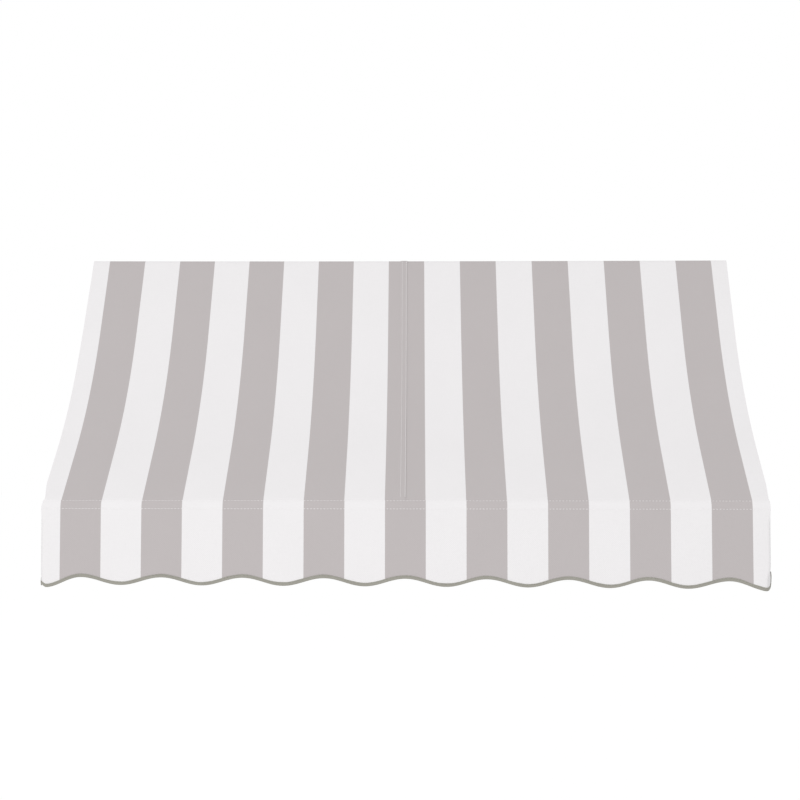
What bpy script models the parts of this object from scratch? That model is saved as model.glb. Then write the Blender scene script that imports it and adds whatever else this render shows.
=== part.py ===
# Fixed window awning: a tube frame under a striped cloth cover with a hollow slope and a scalloped valance.
# Units are metres and +Z is up. The wall is the plane y = 0, and the street side is towards -Y.
# The origin lies on the wall face behind the middle of the head tube, level with that tube's axis.
# Left and right are as seen from the street, so left is -X.

import math
from collections import namedtuple

import bmesh
import bpy
from mathutils import Matrix, Vector

# Fit between pieces that touch
GAP = 0.0003

# Cover
WIDTH = 1.640
STRIPE = 0.09193
CLOTH = 0.0008
SLOPE_TOP = 34.0
SLOPE_LOW = 55.0
TOP_RUN = 0.210
CURVE_RADIUS = 1.150
LOW_RUN = 0.1845
BEND_EASE = 0.0162
FLARE = 3.3
LAP_RUN = 0.005
LAP_TURN = 43.0
VALANCE_RUN = 0.1640
SCALLOP = 0.00875
HEM_TURN = 225.0
NOTCH = 0.046
NOTCH_TOP = 0.008
WALL_GAP = 0.002

# Binding tape on the valance edge
TAPE = 0.0006
TAPE_HEIGHT = 0.0085

# Pockets sewn inside the cover round the tubes
FLANGE = 0.008
FOLD_RADIUS = 0.0018
POCKET_INSET = 0.034

# Frame tube
TUBE_R = 0.0127
TUBE_WALL = 0.0016
HEAD_REACH = 0.024

# Cast joints
COLLAR_EASE = 0.0005
SHORT_COLLAR = 0.016
LONG_COLLAR = 0.045
SPIGOT = 0.034
SPIGOT_CHAMFER = 0.0015

# Wall plates of the joints
PLATE_THICK = 0.004
PLATE_CORNER = 0.004
PLATE_TOP = 0.006
PLATE_DROP = 0.078
CENTRE_DROP = 0.056
EAR = 0.046
CENTRE_HALF = 0.031
EYE_R = 0.0035
EYE_INSET = 0.010
EYE_TOP = 0.032
WEB = 0.0114
WEB_TOP = 0.0047
WEB_DROP = 0.036

# Button-head screws
SHANK_R = 0.0022
SHANK_LENGTH = 0.0075
HEAD_R = 0.0046
HEAD_HEIGHT = 0.0026
SOCKET_R = 0.0015
SOCKET_DEPTH = 0.0014
SCREW_INSET = 0.017

# Smoothness of the faceted solids
TUBE_BEVEL = 6
ROUND_STEPS = 16
BALL_STEPS = 20
ARM_ROLL = 4.0
SCREW_STEPS = 8
HEM_STEPS = 12
CURVE_STEPS = 9
BEND_STEPS = 5
LOOP_STEPS = 9
SCALLOP_STEPS = 8

# Sizes that follow from the ones above
WRAP_R = TUBE_R + GAP
HALF = WIDTH / 2
HUB_X = HALF - CLOTH - WRAP_R
BEND_R = WRAP_R + BEND_EASE
SPIGOT_R = TUBE_R - TUBE_WALL - GAP
BORE_R = SHANK_R + GAP
SIDES = {"left": -1.0, "right": 1.0}

ALONG_X = Vector((1.0, 0.0, 0.0))
ALONG_Y = Vector((0.0, 1.0, 0.0))
ALONG_Z = Vector((0.0, 0.0, 1.0))

Arm = namedtuple("Arm", "root direction collar screw")
Face = namedtuple("Face", "point normal flange")


def facing(elevation):
    """Unit vector in the YZ plane that faces the street, turned up by degrees."""
    angle = math.radians(elevation)
    return Vector((0.0, -math.cos(angle), math.sin(angle)))


def heading(elevation):
    """Unit vector that runs forward and down along a surface facing that way."""
    angle = math.radians(elevation)
    return Vector((0.0, -math.sin(angle), -math.cos(angle)))


def spread(first, last, count):
    """Evenly spaced values from first to last."""
    return [first + (last - first) * index / (count - 1) for index in range(count)]


# Lines of the cover's inner face, each a list of (point, elevation it faces)

HEAD = Vector((0.0, -HEAD_REACH, 0.0))


def hem_line(first_turn=HEM_TURN, radius=WRAP_R):
    """From behind the head tube over its top to the start of the slope."""
    return [(HEAD + facing(turn) * radius, turn) for turn in spread(first_turn, SLOPE_TOP, HEM_STEPS)]


def slope_line():
    """Straight top run, hollow curve and straight low run."""
    start = HEAD + facing(SLOPE_TOP) * WRAP_R
    curve_start = start + heading(SLOPE_TOP) * TOP_RUN
    radius = CURVE_RADIUS + CLOTH
    centre = curve_start + facing(SLOPE_TOP) * radius
    curve = [(centre - facing(turn) * radius, turn) for turn in spread(SLOPE_TOP, SLOPE_LOW, CURVE_STEPS)]
    end = curve[-1][0] + heading(SLOPE_LOW) * LOW_RUN
    return [(start, SLOPE_TOP)] + curve + [(end, SLOPE_LOW)]


def bend_centre():
    """Centre of the soft bend between slope and valance."""
    return slope_line()[-1][0] - facing(SLOPE_LOW) * BEND_R


def bend_line(first_turn=SLOPE_LOW):
    """The soft bend, from a turn on it to the valance's flare."""
    centre = bend_centre()
    return [(centre + facing(turn) * BEND_R, turn) for turn in spread(first_turn, FLARE, BEND_STEPS)]


def offset(line, distance):
    """Points of a line moved out from the inner face."""
    return [point + facing(turn) * distance for point, turn in line]


def run_on(line, distance):
    """The same line with a straight stretch added at its end."""
    point, turn = line[-1]
    return line + [(point + heading(turn) * distance, turn)]


BEND_MIDDLE = (SLOPE_LOW + FLARE) / 2
FRONT = bend_centre() + facing(BEND_MIDDLE) * BEND_EASE
RAFTER_AXIS = offset(slope_line(), -WRAP_R)
RAFTER_FOOT = RAFTER_AXIS[-1] + heading(SLOPE_LOW) * (FRONT - RAFTER_AXIS[-1]).dot(heading(SLOPE_LOW))
REAR_CORNER = Vector((0.0, -HEAD_REACH, FRONT.z))


def scallop(distance):
    """How far the valance edge rises above its middle line, a distance from the middle of the front."""
    return SCALLOP * math.cos(math.pi * distance / STRIPE)


# Building helpers

def collection(name):
    """A collection of the scene, made when it is first asked for."""
    found = bpy.data.collections.get(name)
    if found is None:
        found = bpy.data.collections.new(name)
        bpy.context.scene.collection.children.link(found)
    return found


def clear_scene():
    """Remove what the scene starts with."""
    for item in list(bpy.data.objects):
        bpy.data.objects.remove(item, do_unlink=True)


def add_object(name, data, group="window_awning"):
    """Put mesh or curve data in the scene as an object."""
    item = bpy.data.objects.new(name, data)
    collection(group).objects.link(item)
    return item


def mesh_from(name, bm):
    """Turn a bmesh into a mesh and free it."""
    mesh = bpy.data.meshes.new(name)
    bm.to_mesh(mesh)
    bm.free()
    return mesh


def as_cutter(item):
    """Mark an object as a shape that only cuts or joins another."""
    item.hide_render = True
    item.display_type = "WIRE"
    return item


def boolean(item, other, operation):
    """Cut another object from an item, or join it on."""
    modifier = item.modifiers.new(f"{operation.lower()}_{other.name}", "BOOLEAN")
    modifier.operation = operation
    modifier.object = other
    modifier.solver = "EXACT"


def thicken(item, thickness):
    """Give an open surface its thickness, half to each side."""
    modifier = item.modifiers.new("thickness", "SOLIDIFY")
    modifier.thickness = thickness
    modifier.offset = 0.0
    modifier.use_even_offset = True
    return item


def smooth_round(mesh):
    """Shade a round piece smooth and keep its edges sharp."""
    mesh.shade_smooth()
    mesh.set_sharp_from_angle(angle=math.radians(40.0))


def towards(direction, place):
    """Matrix that stands a Z-up shape along a direction at a place."""
    return Matrix.Translation(place) @ direction.to_track_quat("Z", "Y").to_matrix().to_4x4()


def laid_sheet(name, rows, thickness, material):
    """A grid whose rows of points are laid in place and then given a thickness."""
    bm = bmesh.new()
    bmesh.ops.create_grid(bm, x_segments=len(rows[0]) - 1, y_segments=len(rows) - 1, size=1.0)
    ordered = sorted(bm.verts, key=lambda vert: (round(vert.co.y, 5), round(vert.co.x, 5)))
    places = [point for row in rows for point in row]
    for vert, place in zip(ordered, places):
        vert.co = place
    item = add_object(name, mesh_from(name, bm))
    item.data.materials.append(material)
    return thicken(item, thickness)


def box(name, low, high, corner=0.0):
    """A box between two corners, with its edges along Y rounded if asked."""
    bm = bmesh.new()
    size = high - low
    bmesh.ops.create_cube(bm, size=1.0, matrix=Matrix.Translation((low + high) / 2) @ Matrix.Diagonal((*size, 1.0)))
    if corner > 0.0:
        upright = [edge for edge in bm.edges if abs((edge.verts[0].co - edge.verts[1].co).y) > size.y / 2]
        bmesh.ops.bevel(bm, geom=upright, offset=corner, segments=3, profile=0.5, affect="EDGES")
    return as_cutter(add_object(name, mesh_from(name, bm), "cutters"))


def rods(name, spans, radius):
    """Round bars between pairs of points, all in one cutter."""
    bm = bmesh.new()
    for start, end in spans:
        middle = towards((end - start).normalized(), (start + end) / 2)
        depth = (end - start).length
        bmesh.ops.create_cone(
            bm, cap_ends=True, segments=SCREW_STEPS, radius1=radius, radius2=radius, depth=depth, matrix=middle
        )
    return as_cutter(add_object(name, mesh_from(name, bm), "cutters"))


def turned(name, profile, place, steps, group):
    """A turned solid from (radius, height) points that run from its top down its outer side."""
    bm = bmesh.new()
    verts = [bm.verts.new((radius, 0.0, height)) for radius, height in profile]
    for first, second in zip(verts, verts[1:]):
        bm.edges.new((first, second))
    item = add_object(name, mesh_from(name, bm), group)
    modifier = item.modifiers.new("turn", "SCREW")
    modifier.steps = steps
    modifier.render_steps = steps
    modifier.use_merge_vertices = True
    modifier.merge_threshold = 0.00001
    item.matrix_world = place
    return item


# Materials

def plain_material(name, colour, roughness, metallic):
    """A Principled material of one colour."""
    material = bpy.data.materials.new(name)
    material.use_nodes = True
    shader = material.node_tree.nodes["Principled BSDF"]
    shader.inputs["Base Color"].default_value = (*colour, 1.0)
    shader.inputs["Roughness"].default_value = roughness
    shader.inputs["Metallic"].default_value = metallic
    return material


def striped_cloth(name, axis, middle):
    """Woven cloth with grey and white stripes that change along one axis, grey at the middle."""
    material = plain_material(name, (0.86, 0.85, 0.86), 0.9, 0.0)
    nodes = material.node_tree.nodes
    links = material.node_tree.links
    place = nodes.new("ShaderNodeTexCoord")
    split = nodes.new("ShaderNodeSeparateXYZ")
    wave = nodes.new("ShaderNodeMath")
    wave.operation = "MULTIPLY_ADD"
    wave.inputs[1].default_value = math.pi / STRIPE
    wave.inputs[2].default_value = -math.pi * middle / STRIPE
    crest = nodes.new("ShaderNodeMath")
    crest.operation = "COSINE"
    side = nodes.new("ShaderNodeMath")
    side.operation = "GREATER_THAN"
    side.inputs[1].default_value = 0.0
    mix = nodes.new("ShaderNodeMix")
    mix.data_type = "RGBA"
    mix.inputs["A"].default_value = (0.86, 0.85, 0.86, 1.0)
    mix.inputs["B"].default_value = (0.52, 0.49, 0.49, 1.0)
    links.new(place.outputs["Object"], split.inputs[0])
    links.new(split.outputs[axis], wave.inputs[0])
    links.new(wave.outputs[0], crest.inputs[0])
    links.new(crest.outputs[0], side.inputs[0])
    links.new(side.outputs[0], mix.inputs["Factor"])
    links.new(mix.outputs["Result"], nodes["Principled BSDF"].inputs["Base Color"])
    return material


# Frame tubes

def frame_tube(name, points, bores, material):
    """A hollow tube along a line, open at its ends, with a hole for each screw."""
    curve = bpy.data.curves.new(name, "CURVE")
    curve.dimensions = "3D"
    curve.bevel_depth = TUBE_R - TUBE_WALL / 2
    curve.bevel_resolution = TUBE_BEVEL
    spline = curve.splines.new("POLY")
    spline.points.add(len(points) - 1)
    for slot, point in zip(spline.points, points):
        slot.co = (*point, 1.0)
    guide = add_object(f"{name}_line", curve)
    bpy.context.view_layer.update()
    mesh = bpy.data.meshes.new_from_object(guide.evaluated_get(bpy.context.evaluated_depsgraph_get()))
    bpy.data.objects.remove(guide, do_unlink=True)
    bm = bmesh.new()
    bm.from_mesh(mesh)
    bmesh.ops.remove_doubles(bm, verts=bm.verts, dist=0.00001)
    bm.to_mesh(mesh)
    bm.free()
    mesh.name = name
    smooth_round(mesh)
    mesh.materials.clear()
    mesh.materials.append(material)
    item = thicken(add_object(name, mesh), TUBE_WALL)
    boolean(item, rods(f"{name}_bores", bores, BORE_R), "DIFFERENCE")
    return item


def screw_seat(arm):
    """Point on the tube's axis under an arm's screw."""
    return arm.root + arm.direction * (arm.collar + GAP + SCREW_INSET)


def tube_end(arm):
    """Where the tube that sits on an arm starts."""
    return arm.root + arm.direction * (arm.collar + GAP)


def bore(arm):
    """Span of the hole through one wall of an arm's tube."""
    return screw_seat(arm), screw_seat(arm) + arm.screw * (TUBE_R + HEAD_HEIGHT)


def straight_tube(name, first, second, material):
    """A tube between two arms that face each other."""
    return frame_tube(name, [tube_end(first), tube_end(second)], [bore(first), bore(second)], material)


# Cast joints with spigots inside the tubes

def arm_profile(arm):
    """Collar as thick as the tube, then a chamfered spigot that fits its bore."""
    top = arm.collar + SPIGOT
    return [
        (0.0, top),
        (SPIGOT_R - SPIGOT_CHAMFER, top),
        (SPIGOT_R, top - SPIGOT_CHAMFER),
        (SPIGOT_R, arm.collar),
        (TUBE_R - COLLAR_EASE, arm.collar),
        (TUBE_R - COLLAR_EASE, 0.0),
        (0.0, 0.0),
    ]


def add_wall_plate(item, hub, low, high, eyes):
    """Join a drilled wall plate on, with the web that carries the joint's hub."""
    name = item.name
    boolean(item, box(f"{name}_plate", low, high, PLATE_CORNER), "UNION")
    web_low = Vector((hub.x - WEB / 2, hub.y, hub.z - WEB_DROP))
    web_high = Vector((hub.x + WEB / 2, low.y + PLATE_THICK / 2, hub.z + WEB_TOP))
    boolean(item, box(f"{name}_web", web_low, web_high), "UNION")
    spans = [(eye + ALONG_Y * PLATE_THICK, eye - ALONG_Y * PLATE_THICK * 2) for eye in eyes]
    boolean(item, rods(f"{name}_eyes", spans, EYE_R), "DIFFERENCE")


def cast_joint(name, hub, arms, material, plate=None):
    """A hub with its arms, its wall plate if it has one, and the tapped holes for the screws."""
    bm = bmesh.new()
    bmesh.ops.create_uvsphere(
        bm, u_segments=BALL_STEPS, v_segments=BALL_STEPS // 2, radius=TUBE_R, matrix=Matrix.Translation(hub)
    )
    item = add_object(name, mesh_from(name, bm))
    item.data.materials.append(material)
    for index, arm in enumerate(arms):
        place = towards(arm.direction, arm.root) @ Matrix.Rotation(math.radians(ARM_ROLL * index), 4, "Z")
        other = turned(f"{name}_arm_{index}", arm_profile(arm), place, ROUND_STEPS, "cutters")
        boolean(item, as_cutter(other), "UNION")
    if plate is not None:
        add_wall_plate(item, hub, *plate)
    tip = TUBE_R - SHANK_LENGTH - GAP
    spans = [(screw_seat(arm) + arm.screw * tip, screw_seat(arm) + arm.screw * TUBE_R) for arm in arms]
    boolean(item, rods(f"{name}_taps", spans, BORE_R), "DIFFERENCE")
    return item


def corner_plate(hub, side, drop):
    """Wall plate behind a corner joint, with an ear towards the middle for its two screw eyes."""
    ends = sorted((hub.x + side * TUBE_R, hub.x - side * EAR))
    low = Vector((ends[0], -PLATE_THICK, hub.z - drop))
    high = Vector((ends[1], 0.0, hub.z + PLATE_TOP))
    across = hub.x - side * (EAR - EYE_INSET)
    eyes = [Vector((across, 0.0, height)) for height in (hub.z - EYE_TOP, low.z + EYE_INSET)]
    return low, high, eyes


def centre_plate(hub):
    """Wall plate behind the middle joint, with an eye on each side of the rafter."""
    low = Vector((-CENTRE_HALF, -PLATE_THICK, hub.z - CENTRE_DROP))
    high = Vector((CENTRE_HALF, 0.0, hub.z + PLATE_TOP))
    across = CENTRE_HALF - EYE_INSET
    eyes = [Vector((step * across, 0.0, low.z + EYE_INSET * 1.5)) for step in SIDES.values()]
    return low, high, eyes


# Screws

def button_screw(name, arm, mesh, material):
    """A button-head screw through the tube wall into the spigot."""
    place = towards(arm.screw, screw_seat(arm) + arm.screw * TUBE_R)
    item = add_object(name, mesh)
    if not mesh.materials:
        mesh.materials.append(material)
    modifier = item.modifiers.new("turn", "SCREW")
    modifier.steps = SCREW_STEPS
    modifier.render_steps = SCREW_STEPS
    modifier.use_merge_vertices = True
    modifier.merge_threshold = 0.00001
    item.matrix_world = place
    bm = bmesh.new()
    middle = Matrix.Translation((0.0, 0.0, GAP + HEAD_HEIGHT))
    depth = SOCKET_DEPTH * 2
    bmesh.ops.create_cone(
        bm, cap_ends=True, segments=6, radius1=SOCKET_R, radius2=SOCKET_R, depth=depth, matrix=middle
    )
    socket = as_cutter(add_object(f"{name}_socket", mesh_from(f"{name}_socket", bm), "cutters"))
    socket.matrix_world = place
    boolean(item, socket, "DIFFERENCE")
    return item


def screw_profile():
    """Half outline of the screw as a mesh, from its top down, shared by all screws."""
    crown = GAP + HEAD_HEIGHT
    profile = [
        (0.0, crown),
        (HEAD_R * 0.55, crown),
        (HEAD_R * 0.88, GAP + HEAD_HEIGHT * 0.6),
        (HEAD_R, GAP + HEAD_HEIGHT * 0.1),
        (HEAD_R * 0.96, GAP),
        (SHANK_R, GAP),
        (SHANK_R, -SHANK_LENGTH),
        (0.0, -SHANK_LENGTH),
    ]
    bm = bmesh.new()
    verts = [bm.verts.new((radius, 0.0, height)) for radius, height in profile]
    for first, second in zip(verts, verts[1:]):
        bm.edges.new((first, second))
    return mesh_from("button_screw", bm)


# Cloth pieces

def top_panel(name, side, material):
    """One half of the cover: hem behind the head tube, slope, and lap behind the valance."""
    line = hem_line()[:-1] + slope_line()[:-1] + run_on(bend_line(), LAP_RUN)
    points = offset(line, CLOTH / 2)
    inner, outer = side * GAP / 2, side * HALF
    rows = [[point + ALONG_X * inner, point + ALONG_X * outer] for point in points]
    item = laid_sheet(name, rows, CLOTH, material)
    for label, low, high in (
        ("middle", -NOTCH / 2, NOTCH / 2),
        ("corner", HUB_X - NOTCH / 2, HALF + CLOTH),
    ):
        ends = sorted((side * low, side * high))
        low_corner = Vector((ends[0], -HEAD_REACH, -HEAD_REACH))
        high_corner = Vector((ends[1], 0.0, NOTCH_TOP))
        boolean(item, box(f"{name}_{label}_notch", low_corner, high_corner), "DIFFERENCE")
    return item


def wing(name, side, material):
    """Flat side piece under the edge of the top panel, from the head tube to the lap."""
    radius = WRAP_R - GAP
    notch_turn = 180.0 - math.degrees(math.asin((NOTCH_TOP - GAP) / radius))
    head_arc = [point for point, turn in hem_line(notch_turn, radius)]
    rest = offset(slope_line()[1:-1] + run_on(bend_line(), LAP_RUN), -GAP)
    top_rear = Vector((0.0, -WALL_GAP, head_arc[0].z))
    low_rear = Vector((0.0, -WALL_GAP, rest[-1].z))
    outline = [top_rear] + head_arc + rest + [low_rear]
    curve = bpy.data.curves.new(name, "CURVE")
    curve.dimensions = "2D"
    curve.fill_mode = "BOTH"
    curve.extrude = CLOTH / 2
    spline = curve.splines.new("POLY")
    spline.points.add(len(outline) - 1)
    for slot, point in zip(spline.points, outline):
        slot.co = (point.y, point.z, 0.0, 1.0)
    spline.use_cyclic_u = True
    curve.materials.append(material)
    item = add_object(name, curve)
    turn = Matrix((ALONG_Y, ALONG_Z, ALONG_X)).transposed().to_4x4()
    item.matrix_world = Matrix.Translation(ALONG_X * side * (HALF - CLOTH / 2)) @ turn
    return item


VALANCE_OFFSET = CLOTH + GAP + CLOTH / 2
SIDE_X = HALF + GAP + CLOTH / 2


def valance_head(distance):
    """The valance's stretch round the bend, a distance out from the cover's inner face."""
    return offset(bend_line(LAP_TURN), distance)


def valance_edge(head_end, distance):
    """Point of the lower edge below the end of the bend, for a distance along the edge."""
    drop = VALANCE_RUN - scallop(distance) / math.cos(math.radians(FLARE))
    return head_end + heading(FLARE) * drop


def front_stations():
    """Places along the front where the valance has a column of points."""
    step = 2 * STRIPE / SCALLOP_STEPS
    count = int((HALF - step / 4) / step)
    inner = [step * index for index in range(-count, count + 1)]
    return [-SIDE_X - CLOTH / 2] + inner + [SIDE_X + CLOTH / 2]


def front_valance(name, material):
    """Scalloped front valance, sewn over the lap of the top panels."""
    head = valance_head(VALANCE_OFFSET)
    stations = front_stations()
    rows = [[point + ALONG_X * place for place in stations] for point in head]
    rows.append([valance_edge(head[-1], place) + ALONG_X * place for place in stations])
    return laid_sheet(name, rows, CLOTH, material)


def side_edge():
    """Lower edge of a side valance from the front corner to the wall, as (point, distance behind)."""
    corner = valance_edge(valance_head(CLOTH)[-1], SIDE_X)
    length = -WALL_GAP - corner.y
    count = max(2, round(length / (2 * STRIPE / SCALLOP_STEPS)))
    level = corner.z - scallop(SIDE_X)
    places = spread(0.0, length, count + 1)
    return [(Vector((0.0, corner.y + place, level + scallop(SIDE_X + place))), place) for place in places]


def side_valance(name, side, material):
    """Side valance outside the wing, from the front corner to the wall."""
    edge = side_edge()
    length = edge[-1][1]
    rows = []
    for point in valance_head(CLOTH):
        reach = -WALL_GAP - point.y
        rows.append([Vector((side * SIDE_X, point.y + reach * place / length, point.z)) for _, place in edge])
    rows.append([Vector((side * SIDE_X, point.y, point.z)) for point, _ in edge])
    return laid_sheet(name, rows, CLOTH, material)


def tape_section(base, out, up):
    """Folded tape round the lower edge at a point, from its inner leg to its outer leg."""
    half = CLOTH / 2 + GAP + TAPE / 2
    fold = -GAP - TAPE * 1.5
    steps = ((-1.0, TAPE_HEIGHT), (-1.0, 0.0), (0.0, fold), (1.0, 0.0), (1.0, TAPE_HEIGHT))
    return [base + out * (across * half) + up * height for across, height in steps]


def binding(name, material):
    """One folded tape along the left, front and right valance edges."""
    up = -heading(FLARE)
    head_end = valance_head(VALANCE_OFFSET)[-1]
    edge = side_edge()
    sections = []
    for point, _ in reversed(edge[1:]):
        sections.append(tape_section(point - ALONG_X * SIDE_X, -ALONG_X, ALONG_Z))
    corner = valance_edge(head_end, SIDE_X)
    sections.append(tape_section(corner - ALONG_X * SIDE_X, facing(FLARE) - ALONG_X, up))
    for place in front_stations()[1:-1]:
        sections.append(tape_section(valance_edge(head_end, place) + ALONG_X * place, facing(FLARE), up))
    sections.append(tape_section(corner + ALONG_X * SIDE_X, facing(FLARE) + ALONG_X, up))
    for point, _ in edge[1:]:
        sections.append(tape_section(point + ALONG_X * SIDE_X, ALONG_X, ALONG_Z))
    return laid_sheet(name, sections, TAPE, material)


def fold(before, corner, after):
    """Points that round a folded corner."""
    back = (before - corner).normalized()
    ahead = (after - corner).normalized()
    half_angle = back.angle(ahead) / 2
    reach = FOLD_RADIUS / math.tan(half_angle)
    middle = corner + (back + ahead).normalized() * (FOLD_RADIUS / math.sin(half_angle))
    first = (corner + back * reach - middle).normalized()
    last = (corner + ahead * reach - middle).normalized()
    return [middle + first.slerp(last, share) * FOLD_RADIUS for share in spread(0.0, 1.0, 4)]


def pocket(name, start, end, out, faces, material):
    """A cloth strip sewn to the cover by two flanges and looped behind a tube."""
    across = out.cross(end - start).normalized()
    if across.dot(faces[0].flange) < 0.0:
        across = -across
    radius = WRAP_R + CLOTH / 2
    loop = []
    for turn in spread(0.0, math.pi, LOOP_STEPS):
        loop.append(start + across * (radius * math.cos(turn)) - out * (radius * math.sin(turn)))
    corners = []
    for face, leg in zip(faces, (loop[0], loop[-1])):
        depth = -(GAP + CLOTH / 2) - (leg - face.point).dot(face.normal)
        corners.append(leg + out * (depth / out.dot(face.normal)))
    upper_end = corners[0] + faces[0].flange * FLANGE
    lower_end = corners[1] + faces[1].flange * FLANGE
    path = [upper_end] + fold(upper_end, corners[0], loop[0]) + loop
    path += fold(loop[-1], corners[1], lower_end) + [lower_end]
    rows = [[point, point + (end - start)] for point in path]
    return laid_sheet(name, rows, CLOTH, material)


# Sub-assemblies

def place_x(point, side):
    """A point of the middle plane moved to a corner of the frame."""
    return point + ALONG_X * (side * HUB_X)


def frame_arms():
    """Every arm of every joint, by joint name."""
    bar_screw = facing(-80.0)
    front_screw = -facing(BEND_MIDDLE)
    down, up = heading(SLOPE_TOP), -heading(SLOPE_LOW)
    arms = {
        "head_middle_joint": [
            Arm(HEAD, -ALONG_X, SHORT_COLLAR, bar_screw),
            Arm(HEAD, ALONG_X, SHORT_COLLAR, bar_screw),
            Arm(HEAD, down, LONG_COLLAR, -facing(SLOPE_TOP)),
        ],
        "front_middle_joint": [
            Arm(FRONT, -ALONG_X, SHORT_COLLAR, front_screw),
            Arm(FRONT, ALONG_X, SHORT_COLLAR, front_screw),
            Arm(RAFTER_FOOT, up, LONG_COLLAR, -facing(SLOPE_LOW)),
        ],
    }
    for label, side in SIDES.items():
        head, front, foot = place_x(HEAD, side), place_x(FRONT, side), place_x(RAFTER_FOOT, side)
        rear = place_x(REAR_CORNER, side)
        inward = -ALONG_X * side
        arms[f"head_corner_{label}"] = [
            Arm(head, inward, SHORT_COLLAR, bar_screw),
            Arm(head, down, LONG_COLLAR, -facing(SLOPE_TOP)),
            Arm(head, -ALONG_Z, LONG_COLLAR, inward),
        ]
        arms[f"front_corner_{label}"] = [
            Arm(front, inward, SHORT_COLLAR, front_screw),
            Arm(foot, up, LONG_COLLAR, -facing(SLOPE_LOW)),
            Arm(front, ALONG_Y, LONG_COLLAR, inward),
        ]
        arms[f"rear_corner_{label}"] = [
            Arm(rear, ALONG_Z, SHORT_COLLAR, inward),
            Arm(rear, -ALONG_Y, SHORT_COLLAR, inward),
        ]
    return arms


def rafter(name, top, low, material):
    """A bent rafter tube under the slope, between a head joint and a front joint."""
    shift = ALONG_X * top.root.x
    points = [tube_end(top)] + [point + shift for point in RAFTER_AXIS[1:-1]] + [tube_end(low)]
    return frame_tube(name, points, [bore(top), bore(low)], material)


def build_frame(arms):
    """All joints and tubes of the frame."""
    coat = plain_material("powder_coated_tube", (0.80, 0.80, 0.79), 0.45, 0.0)
    cast = plain_material("powder_coated_casting", (0.76, 0.76, 0.75), 0.5, 0.0)
    rafter("rafter_middle", arms["head_middle_joint"][2], arms["front_middle_joint"][2], coat)
    cast_joint("head_middle_joint", HEAD, arms["head_middle_joint"], cast, centre_plate(HEAD))
    cast_joint("front_middle_joint", FRONT, arms["front_middle_joint"], cast)
    for index, (label, side) in enumerate(SIDES.items()):
        head_arms, front_arms = arms[f"head_corner_{label}"], arms[f"front_corner_{label}"]
        rear_arms = arms[f"rear_corner_{label}"]
        head, front, rear = place_x(HEAD, side), place_x(FRONT, side), place_x(REAR_CORNER, side)
        straight_tube(f"head_tube_{label}", head_arms[0], arms["head_middle_joint"][index], coat)
        straight_tube(f"front_tube_{label}", front_arms[0], arms["front_middle_joint"][index], coat)
        rafter(f"rafter_{label}", head_arms[1], front_arms[1], coat)
        straight_tube(f"upright_{label}", head_arms[2], rear_arms[0], coat)
        straight_tube(f"side_tube_{label}", front_arms[2], rear_arms[1], coat)
        cast_joint(f"head_corner_{label}", head, head_arms, cast, corner_plate(head, side, PLATE_DROP))
        cast_joint(f"front_corner_{label}", front, front_arms, cast)
        cast_joint(f"rear_corner_{label}", rear, rear_arms, cast, corner_plate(rear, side, PLATE_DROP))


def build_screws(arms):
    """One screw for each arm of each joint."""
    steel = plain_material("stainless_steel", (0.60, 0.60, 0.61), 0.35, 1.0)
    mesh = screw_profile()
    for name, joint_arms in arms.items():
        for index, arm in enumerate(joint_arms):
            button_screw(f"{name}_screw_{index + 1}", arm, mesh, steel)


def build_cover():
    """Top panels, wings, valances and their binding."""
    across = striped_cloth("striped_cloth_front", "X", 0.0)
    along = striped_cloth("striped_cloth_side", "Y", side_edge()[0][0].y)
    tape = plain_material("woven_tape", (0.36, 0.35, 0.30), 0.85, 0.0)
    for label, side in SIDES.items():
        top_panel(f"top_panel_{label}", side, across)
        wing(f"wing_{label}", side, along)
        side_valance(f"valance_{label}", side, along)
    front_valance("valance_front", across)
    binding("valance_binding", tape)


def build_pockets(arms):
    """Pockets round the front tubes, side tubes and uprights."""
    cloth = plain_material("plain_cloth", (0.86, 0.85, 0.86), 0.9, 0.0)
    slope_end = slope_line()[-1][0]
    bend_end = bend_line()[-1][0]
    for index, (label, side) in enumerate(SIDES.items()):
        shift = ALONG_X * (side * (HALF - CLOTH))
        start = tube_end(arms[f"front_corner_{label}"][0]) - ALONG_X * (side * POCKET_INSET)
        end = tube_end(arms["front_middle_joint"][index]) + ALONG_X * (side * POCKET_INSET)
        faces = [
            Face(slope_end, facing(SLOPE_LOW), -heading(SLOPE_LOW)),
            Face(bend_end, facing(FLARE), heading(FLARE)),
        ]
        pocket(f"front_pocket_{label}", start, end, facing(BEND_MIDDLE), faces, cloth)
        start = tube_end(arms[f"front_corner_{label}"][2]) + ALONG_Y * POCKET_INSET
        end = tube_end(arms[f"rear_corner_{label}"][1]) - ALONG_Y * POCKET_INSET
        faces = [Face(shift, ALONG_X * side, ALONG_Z), Face(shift, ALONG_X * side, -ALONG_Z)]
        pocket(f"side_pocket_{label}", start, end, ALONG_X * side, faces, cloth)
        start = tube_end(arms[f"head_corner_{label}"][2]) - ALONG_Z * POCKET_INSET
        end = tube_end(arms[f"rear_corner_{label}"][0]) + ALONG_Z * POCKET_INSET
        faces = [Face(shift, ALONG_X * side, ALONG_Y), Face(shift, ALONG_X * side, -ALONG_Y)]
        pocket(f"upright_pocket_{label}", start, end, ALONG_X * side, faces, cloth)


def main():
    """Build the whole awning."""
    clear_scene()
    arms = frame_arms()
    build_frame(arms)
    build_screws(arms)
    build_cover()
    build_pockets(arms)


main()
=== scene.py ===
"""Looks of a fixed window awning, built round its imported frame.

Units are metres, +Z is up, the wall is the plane y = 0 and the street lies towards -Y.
Left and right are as seen from the street, so left is -X.
"""

import logging
import math
from dataclasses import dataclass, field
from enum import Enum
from typing import Callable, Optional, Sequence, Union

import bpy
import numpy as np
from mathutils import Matrix, Vector


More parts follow.
